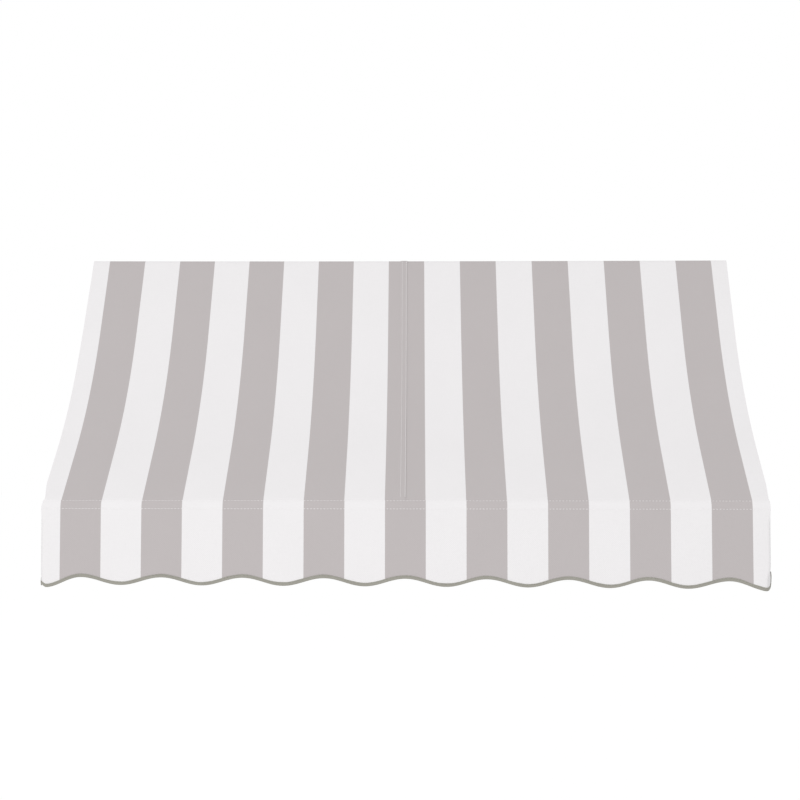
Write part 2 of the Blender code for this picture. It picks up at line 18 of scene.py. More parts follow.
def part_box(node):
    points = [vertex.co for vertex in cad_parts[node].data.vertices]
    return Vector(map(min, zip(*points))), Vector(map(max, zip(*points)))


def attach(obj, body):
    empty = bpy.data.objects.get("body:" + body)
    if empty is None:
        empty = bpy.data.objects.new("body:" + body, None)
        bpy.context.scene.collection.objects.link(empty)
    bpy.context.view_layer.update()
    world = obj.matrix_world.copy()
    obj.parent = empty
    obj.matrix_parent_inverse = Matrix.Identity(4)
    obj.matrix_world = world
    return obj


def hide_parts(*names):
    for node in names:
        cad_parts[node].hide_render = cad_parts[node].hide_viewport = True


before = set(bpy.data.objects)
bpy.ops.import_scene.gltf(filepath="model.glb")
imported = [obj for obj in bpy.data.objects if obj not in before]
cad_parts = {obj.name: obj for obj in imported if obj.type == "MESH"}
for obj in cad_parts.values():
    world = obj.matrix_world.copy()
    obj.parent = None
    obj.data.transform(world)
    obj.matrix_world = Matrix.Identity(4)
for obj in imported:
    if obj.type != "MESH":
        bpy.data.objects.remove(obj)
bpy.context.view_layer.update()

LOG = logging.getLogger("window_awning")
BODY = "root"
MERGE = 0.00001
SMOOTH_ANGLE = math.radians(38.0)
SEAM_STEP = 0.004

Place = Callable[[np.ndarray, np.ndarray], tuple[np.ndarray, np.ndarray]]
Face = tuple[np.ndarray, np.ndarray, np.ndarray]
FaceRule = Callable[[np.ndarray], list[Face]]
Values = Union[np.ndarray, float]
Key = Union[str, int]
Input = Union[bpy.types.NodeSocket, float, Sequence[float]]


class Side(Enum):
    """The two ends of the awning, as seen from the street."""

    LEFT = -1
    RIGHT = 1

    @property
    def label(self) -> str:
        """Name of the end as piece names use it."""
        return self.name.lower()


class Held(Enum):
    """How a cloth is held."""

    STRETCHED = "stretched"
    HUNG = "hung"
    FOLDED = "folded"


@dataclass(frozen=True)
class Sizes:
    """The awning's driving sizes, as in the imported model. Angles are in degrees."""

    gap: float = 0.0003
    half_width: float = 0.820
    stripe: float = 0.09193
    cloth: float = 0.0008
    tape: float = 0.0006
    head_reach: float = 0.024
    tube_radius: float = 0.0127
    tube_wall: float = 0.0016
    slope_top: float = 34.0
    slope_low: float = 55.0
    top_run: float = 0.210
    curve_radius: float = 1.150
    low_run: float = 0.1845
    bend_ease: float = 0.0162
    flare: float = 3.3
    lap_run: float = 0.005
    lap_turn: float = 43.0
    valance_run: float = 0.1640
    scallop: float = 0.00875
    hem_turn: float = 225.0
    notch: float = 0.046
    notch_top: float = 0.008
    wall_gap: float = 0.002
    flange: float = 0.008
    fold_radius: float = 0.0018

    @property
    def wrap_radius(self) -> float:
        """Radius of the cloth's inner face round a tube."""
        return self.tube_radius + self.gap

    @property
    def hub_x(self) -> float:
        """How far the outer rafters' axes lie from the middle."""
        return self.half_width - self.cloth - self.wrap_radius

    @property
    def bend_radius(self) -> float:
        """Inner radius of the soft bend between slope and valance."""
        return self.wrap_radius + self.bend_ease

    @property
    def side_x(self) -> float:
        """How far the middle of a side valance's cloth lies from the middle of the awning."""
        return self.half_width + self.gap + self.cloth / 2

    @property
    def lap_offset(self) -> float:
        """From the cover's inner face to the middle of the valance cloth that laps over it."""
        return self.cloth + self.gap + self.cloth / 2


SIZES = Sizes()


# Lines of the cover in the (y, z) plane


def facing(turn: Values) -> np.ndarray:
    """Unit vectors that face the street, turned up.

    Args:
        turn: Degrees above level.

    Returns:
        One (y, z) pair for each turn.
    """
    angle = np.radians(turn)
    return np.stack([-np.cos(angle), np.sin(angle)], axis=-1)


def heading(turn: Values) -> np.ndarray:
    """Unit vectors that run forward and down along a surface facing that way.

    Args:
        turn: Degrees above level that the surface faces.

    Returns:
        One (y, z) pair for each turn.
    """
    angle = np.radians(turn)
    return np.stack([-np.sin(angle), -np.cos(angle)], axis=-1)


def in_section(pair: np.ndarray) -> np.ndarray:
    """A (y, z) pair of the section as a vector of three."""
    return np.array([0.0, *pair])


class Track:
    """A line of arcs and straight runs that a cloth follows, read by the distance along it."""

    STEPS = 40

    def __init__(self) -> None:
        """Start with no points."""
        self.points = np.empty((0, 2))
        self.turns = np.empty(0)

    def _add(self, points: np.ndarray, turns: np.ndarray) -> None:
        """Put more points on the end, without doubling the last one.

        Args:
            points: The points.
            turns: Degrees that the cloth faces at each.
        """
        first = 1 if len(self.points) else 0
        self.points = np.vstack([self.points, points[first:]])
        self.turns = np.concatenate([self.turns, turns[first:]])

    def arc(self, centre: np.ndarray, radius: float, first: float, last: float) -> "Track":
        """Add an arc.

        Args:
            centre: Its centre.
            radius: Its radius, below zero where the cloth is hollow.
            first: Degrees that its start faces.
            last: Degrees that its end faces.

        Returns:
            The same track.
        """
        turns = np.linspace(first, last, self.STEPS)
        self._add(centre + facing(turns) * radius, turns)
        return self

    def run(self, distance: float) -> "Track":
        """Add a straight run of that length.

        Args:
            distance: Its length.

        Returns:
            The same track.
        """
        turn = self.turns[-1]
        steps = np.linspace(0.0, distance, self.STEPS)
        self._add(self.points[-1] + steps[:, None] * heading(turn), np.full(self.STEPS, turn))
        return self

    @property
    def distances(self) -> np.ndarray:
        """Distance of each point along the track."""
        legs = np.linalg.norm(np.diff(self.points, axis=0), axis=1)
        return np.concatenate([[0.0], np.cumsum(legs)])

    @property
    def length(self) -> float:
        """Length of the whole track."""
        return float(self.distances[-1])

    def at(self, distance: np.ndarray) -> tuple[np.ndarray, np.ndarray, np.ndarray]:
        """Places on the track.

        Args:
            distance: Distances along it.

        Returns:
            y, z and the degrees that the cloth faces, for each distance.
        """
        along = self.distances
        y = np.interp(distance, along, self.points[:, 0])
        z = np.interp(distance, along, self.points[:, 1])
        return y, z, np.interp(distance, along, self.turns)

    def distance_where(self, turn: float) -> float:
        """Distance at which the cloth first faces that many degrees or fewer."""
        return float(self.distances[np.argmax(self.turns <= turn + 1e-6)])


@dataclass(frozen=True)
class CoverLines:
    """The lines that the cover's cloths follow, worked out from the sizes."""

    sizes: Sizes = SIZES

    @property
    def head(self) -> np.ndarray:
        """Axis of the head tube."""
        return np.array([-self.sizes.head_reach, 0.0])

    def slope_marks(self) -> tuple[np.ndarray, np.ndarray]:
        """Work out the centres that the slope turns round.

        Returns:
            Centre of the hollow curve and centre of the soft bend.
        """
        s = self.sizes
        start = self.head + facing(s.slope_top) * s.wrap_radius
        curve_start = start + heading(s.slope_top) * s.top_run
        radius = s.curve_radius + s.cloth
        curve = curve_start + facing(s.slope_top) * radius
        end = curve - facing(s.slope_low) * radius + heading(s.slope_low) * s.low_run
        return curve, end - facing(s.slope_low) * s.bend_radius

    @property
    def bend(self) -> np.ndarray:
        """Centre of the soft bend."""
        return self.slope_marks()[1]

    @property
    def front(self) -> np.ndarray:
        """Axis of the front tube."""
        middle = (self.sizes.slope_low + self.sizes.flare) / 2
        return self.bend + facing(middle) * self.sizes.bend_ease

    def cover(self, offset: float, hem: float) -> Track:
        """From behind the head tube down the slope to the lap behind the valance.

        Args:
            offset: Distance out from the cover's inner face.
            hem: Degrees that the hem's end faces.

        Returns:
            The line of the cloth.
        """
        s = self.sizes
        curve, bend = self.slope_marks()
        track = Track().arc(self.head, s.wrap_radius + offset, hem, s.slope_top)
        track.run(s.top_run)
        track.arc(curve, offset - s.curve_radius - s.cloth, s.slope_top, s.slope_low)
        track.run(s.low_run)
        track.arc(bend, s.bend_radius + offset, s.slope_low, s.flare)
        return track.run(s.lap_run)

    def valance(self) -> Track:
        """From the valance's upper edge on the soft bend down to well below its lower edge.

        Returns:
            The line of the middle of the cloth.
        """
        s = self.sizes
        radius = s.bend_radius + s.lap_offset
        track = Track().arc(self.bend, radius, s.lap_turn, s.flare)
        return track.run(s.valance_run + 4 * s.scallop)


LINES = CoverLines()


# Blender helpers


def select_only(piece: bpy.types.Object) -> None:
    """Select one object and make it active.

    Args:
        piece: The object.
    """
    bpy.ops.object.select_all(action="DESELECT")
    piece.select_set(True)
    bpy.context.view_layer.objects.active = piece


def new_piece(name: str) -> bpy.types.Object:
    """Name the object that an operator has just added.

    Args:
        name: Name of the piece.

    Returns:
        The object.
    """
    piece = bpy.context.object
    piece.name = piece.data.name = name
    select_only(piece)
    return piece


def apply_place(piece: bpy.types.Object) -> None:
    """Move a piece's place and turn into its mesh."""
    select_only(piece)
    bpy.ops.object.transform_apply(location=True, rotation=True, scale=True)


def modify(piece: bpy.types.Object, kind: str, **settings: object) -> None:
    """Add a modifier to a piece and apply it.

    Args:
        piece: The piece.
        kind: Type of the modifier.
        settings: Its settings by name.
    """
    select_only(piece)
    modifier = piece.modifiers.new(kind.lower(), kind)
    for key, value in settings.items():
        setattr(modifier, key, value)
    bpy.ops.object.modifier_apply(modifier=modifier.name)


def smooth(piece: bpy.types.Object) -> None:
    """Shade a piece smooth and keep its hard edges."""
    select_only(piece)
    bpy.ops.object.shade_smooth_by_angle(angle=SMOOTH_ANGLE)


def pick_faces(piece: bpy.types.Object, test: Callable[[Vector, Vector], bool]) -> None:
    """Select the faces that pass a test, and leave the piece in edit mode.

    Args:
        piece: The piece.
        test: Says of a face's centre and normal whether it is wanted.
    """
    select_only(piece)
    bpy.ops.object.mode_set(mode="EDIT")
    bpy.ops.mesh.select_mode(type="FACE")
    bpy.ops.mesh.select_all(action="DESELECT")
    bpy.ops.object.mode_set(mode="OBJECT")
    wanted = [test(face.center, face.normal) for face in piece.data.polygons]
    piece.data.polygons.foreach_set("select", wanted)
    bpy.ops.object.mode_set(mode="EDIT")


def leave_edit() -> None:
    """Go back to object mode."""
    bpy.ops.object.mode_set(mode="OBJECT")


def vertex_places(mesh: bpy.types.Mesh) -> np.ndarray:
    """Read a mesh's vertices.

    Args:
        mesh: The mesh.

    Returns:
        Their places, in three columns.
    """
    places = np.empty(len(mesh.vertices) * 3)
    mesh.vertices.foreach_get("co", places)
    return places.reshape(-1, 3)


def set_places(mesh: bpy.types.Mesh, places: np.ndarray) -> None:
    """Move a mesh's vertices to these places."""
    mesh.vertices.foreach_set("co", places.astype(np.float32).ravel())
    mesh.update()


def stations(*spans: tuple[float, float, int]) -> np.ndarray:
    """Values along a line, closer together where the shape needs it.

    Args:
        spans: First value, last value and number of steps of each stretch, end to end.

    Returns:
        The values, without doubles.
    """
    parts = [np.linspace(first, last, count + 1)[:-1] for first, last, count in spans]
    return np.concatenate([*parts, [spans[-1][1]]])


def lay_cloth(
    name: str,
    across: np.ndarray,
    along: np.ndarray,
    place: Place,
    spare: Optional[Callable[[Vector], bool]] = None,
) -> bpy.types.Object:
    """Cut a cloth as a flat grid and lay its points in place. Its UV map keeps the cut, in metres.

    Args:
        name: Name of the piece.
        across: Cut coordinate of each column.
        along: Cut coordinate of each row.
        place: Gives points and cut coordinates for arrays of across and along.
        spare: Says of a face's centre on the cut whether it is cut away.

    Returns:
        The open cloth.
    """
    bpy.ops.object.select_all(action="DESELECT")
    columns, rows = len(across) - 1, len(along) - 1
    bpy.ops.mesh.primitive_grid_add(x_subdivisions=columns, y_subdivisions=rows, size=1.0)
    piece = new_piece(name)
    mesh = piece.data
    flat = vertex_places(mesh)
    column = np.rint((flat[:, 0] + 0.5) * columns).astype(int)
    row = np.rint((flat[:, 1] + 0.5) * rows).astype(int)
    cut = np.column_stack([across[column], along[row], np.zeros(len(column))])
    if spare is not None:
        set_places(mesh, cut)
        tags = mesh.attributes.new("order", "INT", "POINT")
        tags.data.foreach_set("value", np.arange(len(cut), dtype=np.int32))
        pick_faces(piece, lambda centre, normal: spare(centre))
        bpy.ops.mesh.delete(type="FACE")
        leave_edit()
        mesh = piece.data
        order = np.empty(len(mesh.vertices), dtype=np.int32)
        mesh.attributes["order"].data.foreach_get("value", order)
        mesh.attributes.remove(mesh.attributes["order"])
        cut = cut[order]
    points, cut = place(cut[:, 0], cut[:, 1])
    set_places(mesh, points)
    corner = np.empty(len(mesh.loops), dtype=np.int32)
    mesh.loops.foreach_get("vertex_index", corner)
    layer = mesh.uv_layers[0] if mesh.uv_layers else mesh.uv_layers.new()
    layer.name = "cut"
    layer.data.foreach_set("uv", cut[corner].astype(np.float32).ravel())
    return piece


def thicken(piece: bpy.types.Object, thickness: float) -> float:
    """Give a cloth its thickness, half to each side.

    Args:
        piece: The open cloth.
        thickness: Its thickness.

    Returns:
        The cloth's area before it was thickened.
    """
    area = sum(face.area for face in piece.data.polygons)
    modify(piece, "SOLIDIFY", thickness=thickness, offset=0.0, use_even_offset=True)
    smooth(piece)
    return area


# Finishes

MATH = "ShaderNodeMath"
MIX = "ShaderNodeMix"
NOISE = "ShaderNodeTexNoise"
BUMP = "ShaderNodeBump"


def linear(colour: str) -> tuple[float, ...]:
    """Turn an sRGB hex colour to linear values.

    Args:
        colour: The colour, such as #FFFFFF.

    Returns:
        Linear red, green and blue, and full alpha.
    """
    parts = [int(colour[index : index + 2], 16) / 255 for index in (1, 3, 5)]
    values = [part / 12.92 if part <= 0.04045 else ((part + 0.055) / 1.055) ** 2.4 for part in parts]
    return (*values, 1.0)


def connect(node: bpy.types.Node, sockets: dict[Key, Input]) -> None:
    """Set a node's inputs.

    Args:
        node: The node.
        sockets: Value, or socket to link from, for each input by name or number.
    """
    for key, value in sockets.items():
        if isinstance(value, bpy.types.NodeSocket):
            node.id_data.links.new(value, node.inputs[key])
        else:
            node.inputs[key].default_value = value


def add_node(
    tree: bpy.types.NodeTree, kind: str, sockets: dict[Key, Input], output: Key = 0, **settings: object
) -> bpy.types.NodeSocket:
    """Add a node with its settings, values and links.

    Args:
        tree: The node tree.
        kind: Type of the node.
        sockets: Value, or socket to link from, for each input by name or number.
        output: Name or number of the output that is wanted.
        settings: Properties of the node.

    Returns:
        The output.
    """
    node = tree.nodes.new(kind)
    for key, value in settings.items():
        setattr(node, key, value)
    connect(node, sockets)
    return node.outputs[output]


def new_material(
    name: str, constants: dict[Key, Input]
) -> tuple[bpy.types.Material, bpy.types.NodeTree, bpy.types.Node]:
    """Start a Principled material.

    Args:
        name: Name of the material.
        constants: Values that are the same all over, set on the shader itself.

    Returns:
        The material, its node tree and its shader.
    """
    material = bpy.data.materials.new(name)
    material.use_nodes = True
    shader = material.node_tree.nodes["Principled BSDF"]
    connect(shader, constants)
    return material, material.node_tree, shader


@dataclass(frozen=True)
class WovenCanvas:
    """Solution-dyed acrylic canvas in a plain weave.

    The yarn is dyed through and spun, so both faces look alike and matt, with faint streaks both ways
    where the yarn is thicker and soft edges where the colour changes.
    """

    name: str
    stripe_colour: Optional[str] = None
    ground: str = "#F0EEEF"
    # Yarns lie about 0.5 mm apart, too fine to show, so the weave is drawn at 2.2 mm
    yarn: float = 0.0022
    # Thick places in the yarn are 0.5 mm high and 30 mm long, drawn 2 mm high to show
    slub: tuple[float, float] = (0.0020, 0.030)
    # Dye and yarn vary a little over patches of 90 by 140 mm
    cloud: tuple[float, float] = (0.090, 0.140)
    # Each noise lightens the cloth by up to the first share, from the second one
    streaks: float = 0.024
    darkest: float = 0.964
    fuzz: float = 0.0004
    edge_softness: float = 0.0006

    def build(self) -> bpy.types.Material:
        """Make the material, on the cloth's own cut coordinates.

        Returns:
            The material.
        """
        constants = {"Sheen Weight": 0.12, "Sheen Roughness": 0.5, "Specular IOR Level": 0.25}
        material, tree, shader = new_material(self.name, constants)
        cut = add_node(tree, "ShaderNodeUVMap", {}, uv_map="cut")
        across = add_node(tree, "ShaderNodeSeparateXYZ", {0: cut}, "X")
        colour = self.stripes(tree, cut, across)
        noises = []
        for wide, high, detail in ((*self.slub, 2.0), (*self.slub[::-1], 2.0), (*self.cloud, 1.0)):
            scale = (1 / wide, 1 / high, 1.0)
            scaled = add_node(tree, "ShaderNodeMapping", {"Vector": cut, "Scale": scale})
            noises.append(add_node(tree, NOISE, {"Vector": scaled, "Scale": 1.0, "Detail": detail}))
        warp, weft, cloudy = noises
        slubs = add_node(tree, MATH, {0: warp, 1: weft}, operation="ADD")
        shade = add_node(tree, MATH, {0: slubs, 1: cloudy}, operation="ADD")
        lightness = {0: shade, 1: self.streaks, 2: self.darkest}
        level = add_node(tree, MATH, lightness, operation="MULTIPLY_ADD")
        grey = add_node(tree, "ShaderNodeCombineColor", {0: level, 1: level, 2: level})
        layers = {0: 1.0, 6: colour, 7: grey}
        tinted = add_node(tree, MIX, layers, 2, data_type="RGBA", blend_type="MULTIPLY")
        threads = []
        for way in (across, across.node.outputs["Y"]):
            turn = add_node(tree, MATH, {0: way, 1: math.pi / self.yarn}, operation="MULTIPLY")
            threads.append(add_node(tree, MATH, {0: turn}, operation="SINE"))
        weave = add_node(tree, MATH, {0: threads[0], 1: threads[1]}, operation="MULTIPLY")
        relief = add_node(tree, MATH, {0: slubs, 1: 0.8, 2: weave}, operation="MULTIPLY_ADD")
        bump = add_node(tree, BUMP, {"Height": relief, "Strength": 0.25, "Distance": 0.0003})
        rough = add_node(tree, MATH, {0: slubs, 1: 0.08, 2: 0.80}, operation="MULTIPLY_ADD", use_clamp=True)
        connect(shader, {"Base Color": tinted, "Normal": bump, "Roughness": rough})
        return material

    def stripes(
        self, tree: bpy.types.NodeTree, cut: bpy.types.NodeSocket, across: bpy.types.NodeSocket
    ) -> Input:
        """Colour the stripes, or the plain ground.

        Args:
            tree: The node tree.
            cut: Place on the cut cloth.
            across: Place across the stripes.

        Returns:
            The colour.
        """
        ground = linear(self.ground)
        if self.stripe_colour is None:
            return ground
        fray = add_node(tree, NOISE, {"Vector": cut, "Scale": 1 / self.yarn})
        frayed = add_node(tree, MATH, {0: fray, 1: self.fuzz * 2, 2: across}, operation="MULTIPLY_ADD")
        centred = add_node(tree, MATH, {0: frayed, 1: self.fuzz}, operation="SUBTRACT")
        turn = add_node(tree, MATH, {0: centred, 1: math.pi / SIZES.stripe}, operation="MULTIPLY")
        wave = add_node(tree, MATH, {0: turn}, operation="COSINE")
        edge = {0: wave, 1: SIZES.stripe / math.pi / self.edge_softness, 2: 0.5}
        share = add_node(tree, MATH, edge, operation="MULTIPLY_ADD", use_clamp=True)
        return add_node(tree, MIX, {0: share, 6: ground, 7: linear(self.stripe_colour)}, 2, data_type="RGBA")


@dataclass(frozen=True)
class WovenTape:
    """Acrylic braid tape, woven with crosswise ribs. Its folded edge rubs a little paler in patches."""

    name: str = "woven_acrylic_tape"
    colour: str = "#96948B"
    worn: str = "#ABA9A0"
    # Ribs lie 0.8 mm apart, drawn at 2.4 mm to show
    rib: float = 0.0024
    patch: tuple[float, float] = (0.045, 0.006)

    def build(self) -> bpy.types.Material:
        """Make the material, with the tape's length along U and its width along V.

        Returns:
            The material.
        """
        constants = {"Sheen Weight": 0.15, "Sheen Roughness": 0.5, "Specular IOR Level": 0.25}
        material, tree, shader = new_material(self.name, constants)
        cut = add_node(tree, "ShaderNodeUVMap", {}, uv_map="cut")
        length = add_node(tree, "ShaderNodeSeparateXYZ", {0: cut}, "X")
        turn = add_node(tree, MATH, {0: length, 1: 2 * math.pi / self.rib}, operation="MULTIPLY")
        ribs = add_node(tree, MATH, {0: turn}, operation="SINE")
        scale = (1 / self.patch[0], 1 / self.patch[1], 1.0)
        scaled = add_node(tree, "ShaderNodeMapping", {"Vector": cut, "Scale": scale})
        patches = add_node(tree, NOISE, {"Vector": scaled, "Scale": 1.0})
        wear = add_node(tree, MATH, {0: ribs, 1: 0.10, 2: patches}, operation="MULTIPLY_ADD", use_clamp=True)
        shades = {0: wear, 6: linear(self.colour), 7: linear(self.worn)}
        colour = add_node(tree, MIX, shades, 2, data_type="RGBA")
        bump = add_node(tree, BUMP, {"Height": ribs, "Strength": 0.4, "Distance": 0.0002})
        rough = add_node(tree, MATH, {0: patches, 1: 0.12, 2: 0.76}, operation="MULTIPLY_ADD", use_clamp=True)
        connect(shader, {"Base Color": colour, "Normal": bump, "Roughness": rough})
        return material


@dataclass(frozen=True)
class SewingThread:
    """Bonded polyester thread, twisted of three plies. It is whiter and a little glossier than the cloth."""

    name: str = "bonded_polyester_thread"
    colour: str = "#FAF9F9"
    # The second colour is painted shade between the plies, a darker copy of the thread's own colour
    shaded: str = "#F0EEEE"
    # Plies turn every 0.9 mm
    ply: float = 0.0009

    def build(self) -> bpy.types.Material:
        """Make the material, on object coordinates.

        Returns:
            The material.
        """
        material, tree, shader = new_material(self.name, {"Roughness": 0.5, "Sheen Weight": 0.1})
        place = add_node(tree, "ShaderNodeTexCoord", {}, "Object")
        plies = add_node(tree, NOISE, {"Vector": place, "Scale": 1 / self.ply, "Detail": 1.0})
        # Painted shade: the plies' noise darkens the thread towards its shaded copy, where the bump makes
        # grooves
        shades = {0: plies, 6: linear(self.shaded), 7: linear(self.colour)}
        colour = add_node(tree, MIX, shades, 2, data_type="RGBA")
        bump = add_node(tree, BUMP, {"Height": plies, "Strength": 0.3, "Distance": 0.0002})
        connect(shader, {"Base Color": colour, "Normal": bump})
        return material


@dataclass(frozen=True)
class CoatedMetal:
    """Aluminium with a baked powder coat.

    The coat is satin and flows into a faint orange peel, a casting's grain shows through it, and a
    little dust lies on it.
    """

    name: str
    colour: str = "#DEDEDC"
    dust: str = "#C9C8C3"
    roughness: float = 0.42
    # Orange peel is 1.6 mm across, and the sand's grain on a casting 3 mm
    grain: float = 0.0016
    relief: float = 0.00004
    dust_patch: float = 0.060

    def build(self) -> bpy.types.Material:
        """Make the material, on object coordinates.

        Returns:
            The material.
        """
        constants = {"IOR": 1.5, "Coat Weight": 0.15, "Coat Roughness": 0.3}
        material, tree, shader = new_material(self.name, constants)
        place = add_node(tree, "ShaderNodeTexCoord", {}, "Object")
        peel = add_node(tree, NOISE, {"Vector": place, "Scale": 1 / self.grain})
        dust = add_node(tree, NOISE, {"Vector": place, "Scale": 1 / self.dust_patch})
        share = add_node(tree, MATH, {0: dust, 1: 1.6, 2: -0.75}, operation="MULTIPLY_ADD", use_clamp=True)
        shades = {0: share, 6: linear(self.colour), 7: linear(self.dust)}
        colour = add_node(tree, MIX, shades, 2, data_type="RGBA")
        dulled = {0: dust, 1: 0.16, 2: self.roughness - 0.05}
        rough = add_node(tree, MATH, dulled, operation="MULTIPLY_ADD", use_clamp=True)
        bump = add_node(tree, BUMP, {"Height": peel, "Strength": 0.5, "Distance": self.relief})
        connect(shader, {"Base Color": colour, "Normal": bump, "Roughness": rough})
        return material


@dataclass(frozen=True)
class TurnedSteel:
    """Stainless steel screws, turned and then tumbled, which leaves a dull gleam with fine scratches."""

    name: str = "stainless_steel_screw"
    colour: str = "#BDBDBF"
    # Tumbling leaves scratches about 0.3 mm long
    scratch: float = 0.0003

    def build(self) -> bpy.types.Material:
        """Make the material, on object coordinates.

        Returns:
            The material.
        """
        constants = {"Metallic": 1.0, "Base Color": linear(self.colour)}
        material, tree, shader = new_material(self.name, constants)
        place = add_node(tree, "ShaderNodeTexCoord", {}, "Object")
        scratches = add_node(tree, NOISE, {"Vector": place, "Scale": 1 / self.scratch})
        gleam = {0: scratches, 1: 0.2, 2: 0.25}
        rough = add_node(tree, MATH, gleam, operation="MULTIPLY_ADD", use_clamp=True)
        connect(shader, {"Roughness": rough})
        return material


@dataclass(frozen=True)
class Finishes:
    """Every finish of the awning, made once."""

    striped: bpy.types.Material
    plain: bpy.types.Material
    tape: bpy.types.Material
    thread: bpy.types.Material
    tape_thread: bpy.types.Material
    tube: bpy.types.Material
    casting: bpy.types.Material
    screw: bpy.types.Material

    @classmethod
    def make(cls) -> "Finishes":
        """Make the materials.

        Returns:
            All of them.
        """
        # The second colour of this thread is painted shade between its plies
        tape_thread = SewingThread("dyed_polyester_thread", colour="#AEADA4", shaded="#94938A")
        casting = CoatedMetal(
            "powder_coated_sand_casting", colour="#D6D6D3", roughness=0.5, grain=0.0030, relief=0.00012
        )
        return cls(
            striped=WovenCanvas("striped_acrylic_canvas", stripe_colour="#C0BABA").build(),
            plain=WovenCanvas("white_acrylic_canvas").build(),
            tape=WovenTape().build(),
            thread=SewingThread().build(),
            tape_thread=tape_thread.build(),
            tube=CoatedMetal("powder_coated_aluminium_tube").build(),
            casting=casting.build(),
            screw=TurnedSteel().build(),
        )


def dress(
    piece: bpy.types.Object,
    material: bpy.types.Material,
    nodes: Sequence[str] = (),
) -> bpy.types.Object:
    """Give a piece its finish, fix it to the frame's body and hide the CAD nodes that it stands for.

    Args:
        piece: The finished piece.
        material: Its material.
        nodes: CAD nodes that it replaces.

    Returns:
        The piece.
    """
    piece.data.materials.clear()
    piece.data.materials.append(material)
    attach(piece, BODY)
    if nodes:
        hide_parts(*nodes)
    LOG.info("%s: %d faces", piece.name, len(piece.data.polygons))
    return piece


# Stitching


@dataclass
class Needle:
    """A lockstitch, modelled once and copied along each seam.

    Attributes:
        length: Length of a stitch.
        pitch: Distance from one stitch to the next.
        radius: Radius of the thread.
        sides: Its sides.
        bar_share: Share of the stitch that is straight.
        end_share: Share of it that tapers into the cloth at each end.
        end_taper: Size of the end's tip.
        sink: How deep the thread is pressed into the cloth.
        twist: How much the stitches are turned on the cloth, in radians.
        seed: Start of the random turns.
    """

    length: float = 0.0048
    pitch: float = 0.0075
    # Real thread is half as thick, too fine to show
    radius: float = 0.00055
    sides: int = 5
    bar_share: float = 0.55
    end_share: float = 0.22
    end_taper: float = 0.35
    sink: float = 0.00018
    twist: float = 0.05
    seed: int = 11
    places: np.ndarray = field(init=False)
    faces: list[tuple[int, ...]] = field(init=False)
    random: np.random.Generator = field(init=False)

    def __post_init__(self) -> None:
        """Model one stitch along Z: a bar whose ends taper into the cloth."""
        bpy.ops.object.select_all(action="DESELECT")
        bar = self.length * self.bar_share
        bpy.ops.mesh.primitive_cylinder_add(vertices=self.sides, radius=self.radius, depth=bar)
        stitch = new_piece("stitch")
        pick_faces(stitch, lambda centre, normal: abs(normal.z) > 0.9)
        tip = {"value": self.length * self.end_share}
        bpy.ops.mesh.extrude_region_shrink_fatten(TRANSFORM_OT_shrink_fatten=tip)
        taper = (self.end_taper, self.end_taper, 1.0)
        bpy.ops.transform.resize(value=taper, center_override=(0.0, 0.0, 0.0))
        leave_edit()
        self.places = vertex_places(stitch.data)
        self.faces = [tuple(face.vertices) for face in stitch.data.polygons]
        bpy.data.objects.remove(stitch, do_unlink=True)
        self.random = np.random.default_rng(self.seed)

    def sew(
        self,
        name: str,
        seams: Sequence[tuple[np.ndarray, np.ndarray]],
        weights: Optional[Sequence[float]] = None,
    ) -> bpy.types.Object:
        """Lay stitches along seams, all in one piece.

        Args:
            name: Name of the piece.
            seams: Points and outward normals of each seam, close together.
            weights: Thickness of each seam's thread, as a share of the needle's own.

        Returns:
            The piece.
        """
        bars: list[np.ndarray] = []
        for (points, normals), weight in zip(seams, weights or [1.0] * len(seams)):
            legs = np.linalg.norm(np.diff(points, axis=0), axis=1)
            along = np.concatenate([[0.0], np.cumsum(legs)])
            count = int((along[-1] - self.pitch) / self.pitch)
            middles = self.pitch / 2 + self.pitch * np.arange(count + 1)
            ahead = self._read(along, points, middles + self.length / 2)
            behind = self._read(along, points, middles - self.length / 2)
            out = self._read(along, normals, middles)
            turn = self.random.normal(0.0, self.twist, len(middles))
            for start, end, normal, twist in zip(behind, ahead, out, turn):
                bars.append(self._lay(start, end, normal, twist, weight))
        starts = range(0, len(bars) * len(self.places), len(self.places))
        faces = [tuple(first + corner for corner in face) for first in starts for face in self.faces]
        mesh = bpy.data.meshes.new(name)
        mesh.from_pydata(np.concatenate(bars).tolist(), [], faces)
        mesh.update()
        piece = bpy.data.objects.new(name, mesh)
        bpy.context.scene.collection.objects.link(piece)
        smooth(piece)
        return piece

    @staticmethod
    def _read(along: np.ndarray, values: np.ndarray, wanted: np.ndarray) -> np.ndarray:
        """Values at the wanted distances along a seam."""
        return np.column_stack([np.interp(wanted, along, values[:, axis]) for axis in range(3)])

    def _lay(
        self, start: np.ndarray, end: np.ndarray, normal: np.ndarray, twist: float, weight: float
    ) -> np.ndarray:
        """Lay one stitch between two points, sunk into the cloth and turned a little.

        Args:
            start: Where it starts.
            end: Where it ends.
            normal: Way that the cloth faces.
            twist: Turn on the cloth.
            weight: Thickness of its thread, as a share of the needle's own.

        Returns:
            The places of its points.
        """
        line = (end - start) / np.linalg.norm(end - start)
        out = normal - line * float(normal @ line)
        out /= np.linalg.norm(out)
        side = np.cross(out, line)
        line = line * math.cos(twist) + side * math.sin(twist)
        side = np.cross(out, line)
        middle = (start + end) / 2 + out * (self.radius - self.sink) * weight
        return middle + self.places @ np.array([side * weight, out * weight, line])


# Cloths


def blend_in(value: np.ndarray, low: float, high: float) -> np.ndarray:
    """A smooth step from 0 at low to 1 at high."""
    share = np.clip((value - low) / (high - low), 0.0, 1.0)
    return share * share * (3.0 - 2.0 * share)


